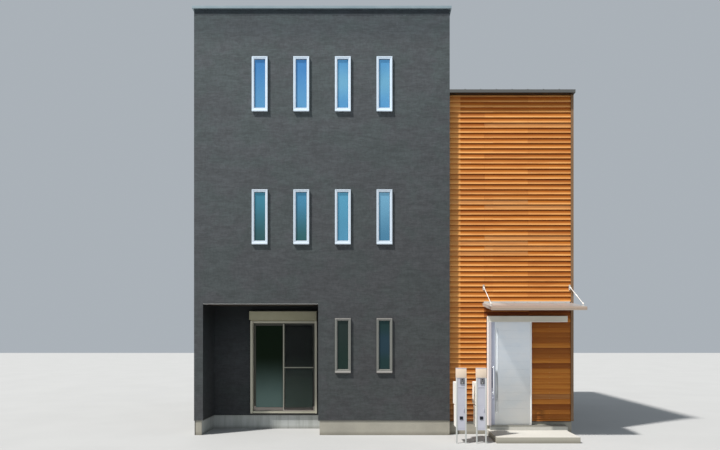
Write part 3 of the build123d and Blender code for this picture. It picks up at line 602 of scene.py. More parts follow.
@once
def fair_concrete(f):
    """Fair-faced concrete with pits and rain stains, paler at the entrance step."""
    clouds = f.noise(1.3, 4.0, 0.6)
    grit = f.noise(90.0, 3.0, 0.6)
    stain = f.noise((14.0, 14.0, 1.2), 4.0, 0.65)
    holes = f.cells(38.0).ramp(0.14, 0.05)
    colour = f.blend(clouds.ramp(0.3, 0.7), (149, 146, 135), (164, 160, 148))
    step = (f.x > 6.4) * (f.y < 0.1)
    # Painted shade: the step's front faces are painted darker than its top.
    nose = (f.y < -0.11) * (f.upward() < 0.5)
    colour = f.blend(step * 0.7, colour, f.blend(nose, (200, 199, 194), (166, 163, 151)))
    # Painted shade on the ledge: a dark line along its top under the door leaf, and painted shadows at its left and
    # right ends.
    ledge = step * (f.y > -0.11) * (f.z > HALL_FLOOR - 0.08)
    edge = f.blend(f.z > HALL_FLOOR - 0.001, (200, 200, 196), (154, 154, 150))
    colour = f.tint(colour, (ledge * (f.z > HALL_FLOOR - 0.018), edge),
                    (ledge * (f.x.ramp(6.93, 6.87) + f.x.ramp(7.8, 7.88)), (182, 186, 188)))
    colour = f.blend(grit.ramp(0.45, 0.8, 0.0, 0.3), colour, (132, 130, 122))
    # Painted light: the concrete in the recess is painted paler and bluer, over its rain streaks.
    recess = (f.x > 0.15) * (f.x < 2.74) * (f.y > 0.03)
    pale = f.tint((186, 191, 191), (stain.ramp(0.4, 0.7, 0.0, 0.6), (206, 210, 206)))
    colour = f.blend(recess * 0.75, colour, pale)
    colour = f.tint(colour, (f.z.ramp(0.1, 0.0, 0.0, 0.5), (150, 145, 135)))
    colour = f.blend(holes * 0.4, colour, (96, 92, 84))
    return f.finish(colour, 0.8 + grit * 0.12, Normal=f.bump(grit * 0.3 - holes * 0.7, 0.002, 0.5))


# Colour, worn colour, roughness and metallic share of each plain metal
METALS = {
    "champagne": ((180, 178, 160), (190, 186, 169), 0.42, 0.1),
    "coping_sheet": ((136, 155, 164), (148, 165, 173), 0.42, 0.2),
    "trim_sheet": ((120, 92, 64), (130, 101, 73), 0.5, 0.0),
    "rail_silver": ((206, 203, 190), (214, 210, 198), 0.38, 0.15),
    "satin_steel": ((214, 210, 200), (200, 196, 188), 0.3, 0.35),
    "polished_bar": ((240, 243, 248), (230, 234, 240), 0.2, 0.3),
    # painted shade: the dark blue of the strip beside the door's handle bar
    "bar_shade_blue": ((50, 52, 92), (60, 62, 100), 0.32, 0.2),
    "unit_silver": ((182, 183, 195), (190, 191, 201), 0.42, 0.1),
    "post_silver": ((198, 201, 198), (190, 192, 190), 0.4, 0.1),
    "box_white": ((246, 244, 238), (238, 235, 229), 0.4, 0.0),
}


@once
def metal(f, name):
    """Coated or anodised metal: a slightly uneven tone, fine drawn lines and a little dust on its upper side."""
    colour, worn, rough, metallic = METALS[name]
    clouds = f.clouds()
    dust = f.upward().ramp(0.6, 0.95) * f.noise(30.0, 3.0, 0.6).ramp(0.35, 0.7)
    shade = f.blend(dust * 0.35, f.blend(clouds.ramp(0.3, 0.7), colour, worn), (186, 180, 168))
    return f.finish(shade, rough + clouds * 0.1 + dust * 0.3, Metallic=metallic, Normal=f.drawn_lines())


@once
def window_silver(f):
    """Silver frames with painted light: brighter and cooler on the upper storeys, and dim on the ground floor, where
    the heads and sills carry a painted highlight.
    """
    clouds = f.clouds()
    # Painted light: each storey gets its own brightness, and the ground floor's heads and sills a painted highlight.
    shade = f.blend(f.z > 6.0, (212, 225, 238), (224, 240, 255))
    ends = (f.z < WINDOW_ZS[0] + 0.046) + (f.z > WINDOW_ZS[0] + 1.172)
    shade = f.blend(f.z < 3.0, shade, f.blend(ends, (122, 123, 118), (148, 145, 141)))
    shade = f.tint(shade, (clouds.ramp(0.3, 0.7, 0.0, 0.6), (243, 244, 245)))
    return f.finish(shade, 0.38 + clouds * 0.1, Normal=f.drawn_lines())


@once
def sash_painted_light_and_shade(f):
    """Coating of the sashes and the screen, painted dark as painted shade, with painted light on the faces marked
    pale, the meeting stiles and the screen's stile and mid rail, and on the bottom rails.
    """
    clouds = f.clouds()
    # Painted shade: the coating is painted dark; painted light on the faces marked pale and on the bottom rails.
    colour = f.blend(clouds, (58, 58, 50), (68, 67, 58))
    colour = f.blend(f.own("pale"), colour, (182, 180, 164))
    colour = f.blend((f.z < 0.53) * 0.7, colour, (184, 172, 164))
    return f.finish(colour, 0.42 + clouds * 0.1, Metallic=0.1)


@once
def shutter_paint(f):
    """Coated box and slats, with a painted highlight along the box's top edge."""
    clouds = f.clouds()
    top = site_box("shutter_box")[1].z
    colour = f.blend(clouds.ramp(0.3, 0.7), (152, 149, 122), (162, 158, 133))
    # Painted highlight along the box's top edge.
    colour = f.blend((f.z > top - 0.024) * 0.8, colour, (198, 194, 170))
    return f.finish(colour, 0.5 + clouds * 0.1)


@once
def dark_sheet(f):
    """Dark coated sheet; at the eave a painted highlight on the front face and painted shade on the underside."""
    clouds, up, eave = f.clouds(), f.upward(), f.z > 7.0
    colour = f.blend(clouds.ramp(0.3, 0.7), (70, 71, 69), (80, 79, 76))
    # Painted light at the eave: a painted highlight on the front face and painted shade on the underside.
    colour = f.blend((f.y < 0.002) * eave * (abs(up) < 0.5), colour, (92, 93, 91))
    colour = f.blend(eave * (up < -0.5) * 0.9, colour, (20, 12, 6))
    return f.finish(colour, 0.42 + clouds * 0.1, Metallic=0.1, Normal=f.drawn_lines())


@once
def door_silver(f):
    """Satin anodised leaf, which mostly shows the light round it. It carries painted shade, darker and warmer towards
    its foot and dimmer on the stile by the jamb, and a painted highlight on the white lock stile.
    """
    clouds = f.noise((1.4, 1.4, 2.4), 3.0, 0.55)
    colour = f.blend(clouds.ramp(0.3, 0.7), (232, 240, 248), (242, 246, 250))
    # Painted shade: darker and warmer towards the foot, and a lilac strip on the stile by the jamb.
    colour = f.tint(colour, (f.z.ramp(1.9, 0.7, 0.1, 1.0), (228, 224, 218)))
    colour = f.blend((f.x > 6.54) * (f.x < 6.62) * 0.75, colour, (172, 176, 198))
    # Painted highlight: the lock stile is white and less metallic.
    edge = f.x > LEAF[0][1] - LOCK_STILE - 0.0005
    colour = f.blend(edge, colour, (252, 252, 250))
    return f.finish(colour, 0.36 + clouds * 0.12, Metallic=0.95 - edge * 0.6, Normal=f.drawn_lines())


@once
def jamb_white(f):
    """White jamb with a painted highlight on its outer strip and a dimmer inner half."""
    clouds = f.clouds()
    # Painted light: the outer strip is painted bright and the inner half dimmer.
    colour = f.blend(f.x < 6.478, f.blend(clouds, (188, 183, 187), (196, 190, 193)), (250, 242, 238))
    return f.finish(colour, 0.4 + clouds * 0.1)


@once
def canopy_silver(f):
    """Satin sheet of the canopy with painted light and shade: darker towards the front, a warmer nose, a bright lip
    under it and a paler strip by the left wall.
    """
    clouds = f.noise((1.2, 6.0, 1.2), 3.0, 0.55)
    lines = f.noise((220.0, 6.0, 6.0), 2.0, 0.5)
    colour = f.blend(clouds.ramp(0.3, 0.7), (150, 147, 145), (160, 155, 152))
    # Painted light and shade: darker towards the front, paler by the left wall, a warmer nose and a bright lip under
    # it.
    colour = f.tint(colour, (f.y.ramp(-0.62, -0.82), (232, 221, 214)))
    colour = f.blend(f.x.ramp(6.85, 6.6) * f.y.ramp(-0.7, -0.4) * 0.6, colour, (196, 194, 190))
    colour = f.blend((f.y < -0.908) * (f.z > 2.722), colour, (176, 157, 141))
    colour = f.blend((f.y < -0.89) * (f.z < 2.7205), colour, (208, 194, 178))
    return f.finish(colour, 0.36 + clouds * 0.1, Metallic=0.2, Normal=f.bump(lines, 0.0003, 0.2))


# Scale of the clouds, their two colours, least roughness and its spread, and the shader's other values
PLAIN = {
    "dark_face": (40.0, (16, 18, 28), (24, 26, 36), 0.35, 0.2, {"Specular_IOR_Level": 0.25}),
    "grey_face": (40.0, (96, 96, 100), (108, 107, 110), 0.4, 0.2, {}),
    "opal_cover": (12.0, (220, 200, 178), (228, 210, 190), 0.35, 0.15, {"Coat_Weight": 0.2}),
}


@once
def plain(f, name):
    """A moulded cover with a slightly cloudy tone and gloss."""
    scale, dim, pale, rough, spread, others = PLAIN[name]
    clouds = f.noise(scale, 3.0, 0.6)
    return f.finish(f.blend(clouds, dim, pale), rough + clouds * spread, **others)


@once
def black_rubber(f):
    """Finely grained rubber of the seals and gaskets."""
    grain = f.noise(220.0, 2.0, 0.5)
    colour = f.blend(grain, (24, 25, 26), (40, 40, 40))
    return f.finish(colour, 0.7 + grain * 0.15, Normal=f.bump(grain, 0.0004, 0.4))


@once
def window_glass(f):
    """Patterned insulating glass painted with the sky's reflection: painted sky tones on the third floor, teal to
    pale blue below, dark on the ground floor.
    """
    drift = f.noise((2.0, 2.0, 1.2), 3.0, 0.5)
    # Painted reflection: the colours follow what each pane reflects, storey by storey and pane by pane.
    right_half, last = f.x > 2.8, f.x > 3.7
    top = f.blend(right_half, f.blend(f.z.ramp(7.2, 8.3), (118, 186, 236), (92, 162, 230)),
                  f.blend(abs(f.z - 7.75).ramp(0.5, 0.0), (112, 186, 240), (136, 204, 240)))
    rise = f.z.ramp(4.25, 5.35)
    first, second, third, fourth = (f.blend(rise, foot, head) for foot, head in (
        ((70, 110, 114), (84, 156, 180)), ((68, 117, 119), (98, 170, 208)),
        ((104, 174, 208), (116, 194, 228)), ((98, 158, 192), (146, 208, 240))))
    middle = f.blend(right_half, f.blend(f.x > 1.9, first, second), f.blend(last, third, fourth))
    low = f.blend(last, f.blend(f.z.ramp(1.5, 2.4), (40, 58, 52), (46, 58, 55)), (42, 66, 66))
    low = f.blend(abs(f.z - 2.0).ramp(0.4, 0.1) * last * 0.8, low, (48, 70, 84))
    colour = f.blend(f.z > 6.0, f.blend(f.z > 3.0, low, middle), top)
    colour = f.tint(colour, (drift.ramp(0.35, 0.65, 0.0, 0.4), (214, 222, 224)))
    return f.finish(colour, 0.2 + drift * 0.12, Metallic=0.6, Normal=f.bump(f.cells(140.0), 0.0006, 0.2), IOR=1.45,
                    Specular_IOR_Level=0.3)


@once
def patio_glass(f):
    """Frosted insulating glass with a painted reflection: light teal at the foot and near black above."""
    drift = f.noise((1.2, 1.2, 0.9), 3.0, 0.5)
    frost = f.noise(260.0, 2.0, 0.5)
    rise = (f.z - 0.45) / 2.0
    # Painted reflection: light teal at the foot, darkening to near black above.
    left = f.blend(rise.ramp(0.02, 0.64), (100, 122, 117), (0, 22, 0))
    right = f.blend(rise.ramp(0.0, 0.7), (128, 150, 138), (0, 18, 12))
    colour = f.tint(f.blend(f.x > 1.85, left, right), (drift.ramp(0.4, 0.7, 0.0, 0.4), (206, 214, 210)))
    return f.finish(colour, 0.3 + frost * 0.15, Normal=f.bump(frost, 0.0003, 0.3), IOR=1.45,
                    Specular_IOR_Level=0.12)


@once
def slit_glass(f):
    """Frosted slit with a painted reflection: bright above and as dim as the leaf below."""
    frost = f.noise(240.0, 2.0, 0.5)
    clouds = f.noise((1.0, 1.0, 3.0), 3.0, 0.5)
    # Painted reflection: bright above 1.4 m.
    colour = f.tint(f.blend(f.z.ramp(1.36, 1.46), (178, 182, 184), (244, 249, 253)), (clouds * 0.2, (220, 224, 228)))
    return f.finish(colour, 0.28 + frost * 0.1, Metallic=0.3, Normal=f.bump(frost, 0.0002, 0.2))


@once
def cedar(f):
    """Oiled cedar: each board has its own tone, long grain and cathedral figure. Each course is painted bright at its
    lip and darker up to the lap above, with a dark line under each lap, as painted shade, less so where the boards
    stand in shade; painted shade also lies under the canopy, over a lit patch low right of the door and as the units'
    shadow, and the strip in the corner's shadow is painted brighter.
    """
    tone = f.own("tone")
    courses = (f.z - FIRST_BUTT) / BOARD_PITCH
    shift = f.random(courses.floor() + (f.x > 6.6) * 31.0) * 40.0
    spread = f.add("ShaderNodeCombineXYZ", None, {"X": f.x + shift, "Y": shift, "Z": f.z})
    grain = f.noise((1.6, 1.0, 90.0), 5.0, 0.62, 0.8, spread)
    figure = f.noise((0.7, 1.0, 16.0), 3.0, 0.5, 1.4, spread)
    # Painted light on each course: bright at its lip and darker up to the lap above, where the lap's shade falls; its
    # share is small right of the door under the canopy and smaller by the corner, where the boards stand in shade.
    rise = courses % 1.0
    by_corner = f.x < 5.875
    painted_lap_shade_share = 1.0 - (f.x > 7.4) * (f.z < 2.75) * 0.85 - by_corner * 0.45
    shaded = painted_lap_shade_share < 0.5
    base = f.blend(rise.ramp(0.12, 0.5) * painted_lap_shade_share, (238, 175, 104), (183, 108, 32))
    base = f.blend(rise.ramp(0.5, 0.88) * painted_lap_shade_share, base, (162, 86, 14))
    # Painted shade: boards in shade are tinted deeper.
    base = f.tint(base, (shaded, (218, 196, 140)),
                  # painted shade over a lit patch low right of the door
                  (abs(f.x - 7.63).ramp(0.16, 0.04) * (f.z < 0.54) * 0.6, (172, 166, 150)))
    # Painted light: the strip in the main block's shadow by the corner is painted brighter.
    base = f.blend(by_corner * 0.3, base, (240, 180, 104))
    base = f.tint(
        base,
        (shaded * tone.ramp(0.2, 0.9), (206, 190, 180)),
        # painted shade: a dark line under each lap
        (rise.ramp(0.86, 0.97) * 0.5, (190, 150, 80)),
        # painted shadow of the letter-box units, low on the boards at the left
        ((f.x < 6.42) * f.z.ramp(1.0, 0.45), (186, 186, 200)),
        (tone.ramp(0.15, 0.9, 0.0, 0.62), (213, 200, 189)),
    )
    base = f.blend((tone > 0.92) * 0.25, base, (238, 186, 122))
    base = f.tint(
        base,
        (figure.ramp(0.35, 0.7, 0.0, 0.4), (216, 184, 146)),
        (grain.ramp(0.4, 0.72, 0.0, 0.5), (206, 172, 130)),
        # painted shade under the canopy
        (f.z.ramp(2.5, 2.66) * (f.z < 2.8) * (f.x > 6.4), (176, 150, 116)),
    )
    return f.finish(base, 0.5 + grain * 0.2, Specular_IOR_Level=0.25,
                    Normal=f.bump(grain * 0.6 + figure * 0.4, 0.0015, 0.6))


@once
def soffit_paint(f):
    """Dark stained soffit boards behind a pale edge strip along the front."""
    clouds = f.noise(3.0, 3.0, 0.5)
    grain = f.noise((2.0, 40.0, 2.0), 4.0, 0.6, 0.4)
    joint = (f.y - 0.16) % 0.11 < 0.005
    colour = f.tint(f.blend(clouds.ramp(0.3, 0.7), (58, 50, 40), (70, 62, 50)),
                    (grain.ramp(0.4, 0.7, 0.0, 0.5), (180, 170, 160)), (joint * 0.8, (90, 84, 80)))
    colour = f.blend(f.y < 0.045, colour, (244, 242, 240))
    return f.finish(colour, 0.7, Normal=f.bump(grain - joint, 0.001, 0.3))


@once
def floor_boards(f):
    """Oak boards above and a painted ceiling below."""
    width, length = 0.15, 1.8
    row = (f.y / width).floor()
    tone = f.random(row + ((f.x + f.random(row) * length) / length).floor() * 17.0)
    grain = f.noise((2.0, 60.0, 2.0), 4.0, 0.6, 0.5)
    gap = f.y % width < 0.003
    oak = f.tint(f.blend(tone, (170, 128, 82), (200, 158, 108)),
                 (grain.ramp(0.4, 0.7, 0.0, 0.5), (190, 160, 124)), (gap * 0.8, (90, 66, 44)))
    colour = f.blend(f.upward() > 0.5, (224, 220, 212), oak)
    # Painted shade: the floor's edge in the recess, under the patio door, is painted near black.
    colour = f.blend((f.y < 1.0) * (f.z < 0.38) * (f.x < 2.72), colour, (46, 46, 44))
    return f.finish(colour, 0.5 + grain * 0.15, Normal=f.bump(grain - gap, 0.001, 0.4))


@once
def roof_membrane(f):
    """Grey sheet membrane above and a painted ceiling below."""
    clouds = f.noise(0.8, 4.0, 0.6)
    grit = f.noise(160.0, 2.0, 0.5)
    colour = f.blend(clouds.ramp(0.3, 0.7), (140, 143, 145), (158, 160, 160))
    colour = f.blend(grit.ramp(0.5, 0.8, 0.0, 0.3), colour, (176, 176, 172))
    inside = (f.z < 8.72) * (f.x < 5.5) + (f.z < 7.4) * (f.x > MAIN_RIGHT)
    colour = f.blend(inside, colour, (222, 218, 210))
    return f.finish(colour, 0.75 + grit * 0.1, Normal=f.bump(grit, 0.001, 0.4))


@once
def screen_mesh(f):
    """Black insect mesh of fine threads, with clear holes between them."""
    threads_per_metre = 700.0
    across, along = (abs(((way * threads_per_metre) % 1.0) - 0.5) < 0.16 for way in (f.x, f.z))
    colour = f.blend(f.noise(400.0), (8, 14, 12), (16, 24, 21))
    return f.finish(colour, 0.6, Alpha=across.most(along) * 0.5 + 0.06)


@once
def pale_floor(f):
    """The stage's floor."""
    clouds = f.noise(0.6, 3.0, 0.5)
    fine = f.noise(24.0, 3.0, 0.5)
    colour = f.blend(clouds.ramp(0.3, 0.7), (172, 173, 173), (175, 176, 176))
    return f.finish(colour, 0.8 + fine * 0.1, Normal=f.bump(fine, 0.0008, 0.2))


# What a user may change
class HouseColours(bpy.types.PropertyGroup):
    sun_strength: bpy.props.FloatProperty(
        name="Key light", description="Strength of the key light from the upper left", default=5.15, min=0.0)
    sky_strength: bpy.props.FloatProperty(
        name="Fill light", description="Strength of the even light from all round", default=0.48, min=0.0)
    sky_colour: bpy.props.FloatVectorProperty(
        name="Fill colour", description="Colour of the even light", subtype="COLOR", size=3,
        default=(0.84, 0.92, 1.0), min=0.0, max=1.0)


class HouseSizes(bpy.types.PropertyGroup):
    board_seed: bpy.props.IntProperty(
        name="Board seed", description="Choice of the boards' tones", default=11)


class PieceOperator:
    """What the operators share: their options."""

    bl_options = {"REGISTER", "UNDO"}


class HOUSE_OT_walls(PieceOperator, bpy.types.Operator):
    """Trowelled render on the walls, with a metal flashing along their foot"""

    bl_idname = "house.walls"
    bl_label = "Rendered walls"

    def execute(self, context):
        coat(trowelled_render(), "front_wall_upper", "front_wall_lower", "left_wall", "side_wall_upper", "back_wall",
             "recess_wall_left", "recess_wall_over", "recess_side_wall", "entrance_wall_left", "entrance_wall_over",
             "entrance_wall_right", "entrance_side_wall", "entrance_back_wall")
        thick = 0.004
        z = (BASE_TOP - 0.001, BASE_TOP + 0.014)
        rear = HOUSE_BACK + thick
        drip = Solid().blocks(
            0.001,
            ((0.0, WALL), (-thick, 0.0), z),
            ((RECESS_RIGHT, MAIN_RIGHT), (-thick, 0.0), z),
            ((-thick, 0.0), (-thick, rear), z),
            ((0.0, HOUSE_RIGHT), (HOUSE_BACK, rear), z),
            ((HOUSE_RIGHT, HOUSE_RIGHT + thick), (SIDE_WALL_FRONT, rear), z),
            ((WALL, WALL + thick), (0.0, 0.9), z),
        )
        piece("base_drip", drip, dark_sheet())
        return {"FINISHED"}


class HOUSE_OT_base(PieceOperator, bpy.types.Operator):
    """Concrete of the foundation, the hall floor and the step, with its skim and the plugs of its form ties"""

    bl_idname = "house.base"
    bl_label = "Concrete base"

    def execute(self, context):
        coat(fair_concrete(), "main_foundation", "entrance_foundation", "hall_floor", "entrance_step")
        z = (0.0, BASE_TOP - 0.0005)
        skim = Solid().blocks(
            0.002,
            ((0.010, 0.165), (0.010, 0.031), z),
            ((2.759, MAIN_RIGHT), (0.010, 0.031), z),
            ((0.010, 0.031), (0.010, 7.44), z),
            ((0.010, 8.36), (7.419, 7.44), z),
            ((8.339, 8.36), (SIDE_WALL_FRONT, 7.44), z),
        )
        piece("base_skim", skim, fair_concrete())
        outline = [(0.0125, 0.004), (0.0125, -0.0005), (0.008, -0.003)]
        for side, sign, x, y, count in (("front", 1, 3.0, 0.010, 5), ("back", -1, 0.5, 7.44, 13)):
            plug = Solid().turned([(radius, sign * along) for radius, along in outline], sides=12)
            in_rows(f"tie_plugs_{side}", plug, fair_concrete(), (x, y, 0.17), (0.6, 0, 0), count)
        return {"FINISHED"}


class HOUSE_OT_floors(PieceOperator, bpy.types.Operator):
    """Board floors and painted ceilings of the three storeys"""

    bl_idname = "house.floors"
    bl_label = "Floors"

    def execute(self, context):
        coat(floor_boards(), "ground_floor", "second_floor", "third_floor")
        return {"FINISHED"}


class HOUSE_OT_roofs(PieceOperator, bpy.types.Operator):
    """Sheet membrane of the main roof with its laps and outlets, and the entrance block's standing seams"""

    bl_idname = "house.roofs"
    bl_label = "Roofs"

    def execute(self, context):
        coat(roof_membrane(), "main_roof", "entrance_roof")
        top = site_box("main_roof")[1].z
        lap = Solid().block((-0.03, 0.03), (0.0, 7.0), (0.0, 0.004), 0.001)
        in_rows("membrane_laps", lap, roof_membrane(), (1.2, 0.22, top), (1.05, 0, 0), 4)
        upturn = Solid().frame((WALL, MAIN_RIGHT - WALL), (WALL, HOUSE_BACK - WALL), [
            (0.0, 0.0), (0.06, 0.0), (0.006, 0.05), (0.006, 0.22), (0.0, 0.225)], "Z", top)
        piece("membrane_upturn", upturn, roof_membrane())
        drain = Solid()
        for x, y in ((0.5, 0.6), (5.1, 6.8)):
            drain.turned([(0.11, 0.0), (0.11, 0.006), (0.075, 0.012), (0.07, 0.05), (0.05, 0.07), (0.0, 0.075)],
                         "Z", centre=(x, y, top))
        piece("roof_outlets", drain, dark_sheet())
        coat(dark_sheet(), "entrance_eave")
        x, y, z = site_spans("entrance_eave")
        seam = Solid().block((-0.008, 0.008), (0.0, y[1] - y[0] - 0.01), (0.0, 0.026), 0.002)
        in_rows("standing_seams", seam, dark_sheet(),
                (x[0] + 0.34, y[0] + 0.005, z[1]), (0.345, 0, 0), 7)
        edge = Solid().frame(x, y, [(0.0, 0.0), (0.0, 0.012), (0.014, 0.012), (0.014, 0.0)], "Z", z[1])
        piece("eave_upstand", edge, dark_sheet())
        return {"FINISHED"}


class HOUSE_OT_coping(PieceOperator, bpy.types.Operator):
    """Folded metal cap round the parapet, with its joint covers"""

    bl_idname = "house.coping"
    bl_label = "Coping"

    def execute(self, context):
        x, y, (foot, top) = site_spans("main_coping")
        width = 0.255
        cap = Solid().frame(x, y, [
            (0.0016, top - 0.0056), (0.0045, top - 0.0032), (width - 0.003, top - 0.0076), (width, top - 0.0105),
            (width, foot + 0.012), (width - 0.004, foot + 0.008), (width - 0.01, foot + 0.014),
            (width - 0.012, top - 0.03), (0.045, top - 0.026), (0.045, foot + 0.006), (0.04, foot),
            (0.0056, foot), (0.0016, foot + 0.004),
        ], "Z")
        piece("coping_cap", cap, metal("coping_sheet"), ["main_coping"])
        outline = [(0.0, foot + 0.005), (0.0, top - 0.0035), (0.0035, top), (width + 0.0015, top - 0.0045),
                   (width + 0.0015, foot + 0.014)]
        for side, axis, edge, sign, start, step, count in (
            ("front", "X", y[0], 1, (0.9, 0, 0), (1.91, 0, 0), 3),
            ("back", "X", y[1], -1, (0.9, 0, 0), (1.91, 0, 0), 3),
            ("left", "Y", x[0], 1, (0, 0.95, 0), (0, 1.85, 0), 4),
            ("right", "Y", x[1], -1, (0, 0.95, 0), (0, 1.85, 0), 4),
        ):
            cover = Solid().prism([(edge + sign * a, b) for a, b in outline], axis, -0.045, 0.045)
            in_rows(f"coping_covers_{side}", cover, metal("coping_sheet"), start, step, count)
        return {"FINISHED"}


class HOUSE_OT_windows(PieceOperator, bpy.types.Operator):
    """Slit windows front and back: collar, sash, sill bar, gaskets, hinge and weep covers, and panes"""

    bl_idname = "house.windows"
    bl_label = "Slit windows"

    def execute(self, context):
        x, z, edge, foot = (0, 0.345), (0, 1.2), 0.0275, 0.0795
        width, height = x[1], z[1]
        frames = Solid().frame(x, z, [
            (0.0, 0.0), (0.014, 0.0), (0.014, 0.09), (0.026, 0.09), (0.026, -0.038), (0.024, -0.040),
            (0.002, -0.040), (0.0, -0.038)])
        frames.frame(wider(x, -edge), (foot - 0.0265, height - edge), [
            (0.0, 0.088), (0.0265, 0.088), (0.0265, -0.018), (0.015, -0.0368), (0.0015, -0.0368), (0.0, -0.035)])
        frames.block(wider(x, -edge), (-0.0364, 0.088), (edge, foot - 0.026), 0.0015)
        frames.prism([(-0.044, 0.0), (-0.044, 0.034), (-0.042, 0.038), (-0.036, 0.044), (-0.036, 0.0)],
                     "X", 0.0, width, 0.001)
        frames.prism([(-0.0435, height - 0.008), (-0.040, height), (-0.036, height), (-0.036, height - 0.010)],
                     "X", 0.0, width)
        for hinge in (0.0285, width - 0.0285 - 0.012):
            for at in (0.30, height - 0.33):
                frames.block((hinge, hinge + 0.012), (-0.0392, -0.035), (at, at + 0.05), 0.0015)
        gaskets = Solid().frame(wider(x, -0.0535), (foot, height - 0.0535), [
            (0.0, -0.006), (0.0055, -0.006), (0.0055, -0.012), (0.0, -0.019)])
        gaskets.frame(wider(x, 0.006), wider(z, 0.006), [(0.007, 0.0), (0.006, -0.008), (0.0, 0.0)])
        for at in (0.05, width - 0.05):
            gaskets.block(round_about(at, 0.011), (-0.0439, -0.0425), (0.012, 0.0185), 0.0006)
        panes = Solid().block(wider(x, -0.055), (-0.006, 0.014), (foot + 0.0015, height - 0.055), 0.0015)
        front = [(x, 0.0, z, 0.0) for z in WINDOW_ZS for x in (WINDOW_XS[2:] if z < 2 else WINDOW_XS)]
        back = [(x + width, HOUSE_BACK, z, math.pi) for z in WINDOW_ZS for x in WINDOW_XS]
        for side, places in (("front", front), ("back", back)):
            set_out(f"{side}_frames", frames, window_silver(), places, [f"{side}_window_frames"])
            set_out(f"{side}_gaskets", gaskets, black_rubber(), places)
            set_out(f"{side}_panes", panes, window_glass(), places, [f"{side}_window_glass"])
        return {"FINISHED"}


class HOUSE_OT_recess(PieceOperator, bpy.types.Operator):
    """Soffit of the recess with its slotted vent strip"""

    bl_idname = "house.recess"
    bl_label = "Recess soffit"

    def execute(self, context):
        coat(soffit_paint(), "recess_soffit")
        slat = Solid().block((-0.02, 0.02), (0.0, 0.045), (-0.003, 0.002), 0.001)
        in_rows("soffit_vent", slat, dark_sheet(), (0.32, 0.1, HEADER - 0.008), (0.05, 0, 0), 46)
        return {"FINISHED"}


class HOUSE_OT_patio(PieceOperator, bpy.types.Operator):
    """Patio frame, its two glazed sashes with their beads and gaskets, the lock, the pull and screws"""

    bl_idname = "house.patio"
    bl_label = "Patio door"

    def execute(self, context):
        coat(metal("champagne"), "patio_frame")
        x, y, z = site_spans("patio_frame")
        seal = Solid().frame(wider(x, 0.007), (z[0] - 0.007, z[1]), [(0.009, 0.9), (0.007, 0.888), (0.0, 0.9)])
        seal.block(wider(x, -0.002), (0.872, 0.898), (z[0] - 0.012, z[0]))
        piece("patio_sealant", seal, black_rubber())
        screw = Solid().turned([(0.004, 0.002), (0.004, -0.001), (0.0025, -0.002)], sides=10)
        for side, at in (("left", x[0] + 0.0125), ("right", x[1] - 0.0125)):
            in_rows(f"guide_screws_{side}", screw, metal("satin_steel"), (at, y[0], 0.48), (0, 0, 0.39), 6)
        stile, foot, head = 0.042, 0.078, 0.046
        for side in ("left", "right"):
            body = f"patio_{side}"
            x, y, z = site_spans(f"patio_sash_{side}")
            inner_x, inner_z = wider(x, -stile), (z[0] + foot, z[1] - head)
            left, right, rail = (x[0], inner_x[0]), (inner_x[1], x[1]), wider(y, -0.0008)
            sash = Solid().blocks(0.0018, (left, y, z), (right, y, z), (inner_x, rail, (z[0], inner_z[0])),
                                  (inner_x, rail, (inner_z[1], z[1])))
            sash.frame(inner_x, inner_z, [
                (0.0, 0.0058), (0.0045, 0.0058), (0.0045, 0.004), (0.0, 0.0015)], depth=y[0])
            sash.block(inner_x, (y[0] - 0.0016, y[0] + 0.002), (inner_z[0] - 0.012, inner_z[0] - 0.006), 0.001)
            dressed = sash.mesh(f"sash_{side}")
            # The meeting stile is marked for painted light on the dark sash coating.
            meeting, share = (right, 0.5) if side == "left" else (left, 0.8)
            mark_painted_light(dressed, (wider(meeting, 0.001), z, share))
            piece(f"sash_{side}", dressed, sash_painted_light_and_shade(), [f"patio_sash_{side}"], body)
            seals = Solid().frame(wider(inner_x, -0.0045), wider(inner_z, -0.0045), [
                (0.0, 0.006), (0.003, 0.006), (0.0, 0.0045)], depth=y[0])
            piece(f"sash_seals_{side}", seals, black_rubber(), body=body)
            coat(patio_glass(), f"patio_glass_{side}")
        x, y, z = site_spans("patio_sash_left")
        edge, back, mid = x[1] - 0.021, y[1], 1.36
        lock = Solid()
        lock.block(round_about(edge, 0.011), (back - 0.0005, back + 0.006), round_about(mid, 0.045), 0.002)
        lock.turned([(0.0115, 0.0), (0.0115, 0.007), (0.009, 0.010)], sides=18, centre=(edge, back + 0.006, mid))
        lock.tube([(edge, back + 0.012, mid), (edge - 0.012, back + 0.016, mid + 0.02),
                   (edge - 0.013, back + 0.018, mid + 0.05)], [0.0045, 0.005, 0.0055], 10)
        piece("crescent_lock", lock, metal("champagne"), body="patio_left")
        x, y, z = site_spans("patio_sash_right")
        middle = x[0] + 0.021
        pull = Solid().frame(round_about(middle, 0.011), (1.25, 1.39), [
            (0.0, -0.001), (0.0, 0.0015), (0.004, 0.0015), (0.0055, -0.001)], depth=y[1])
        piece("sash_pull", pull, black_rubber(), body="patio_right")
        return {"FINISHED"}


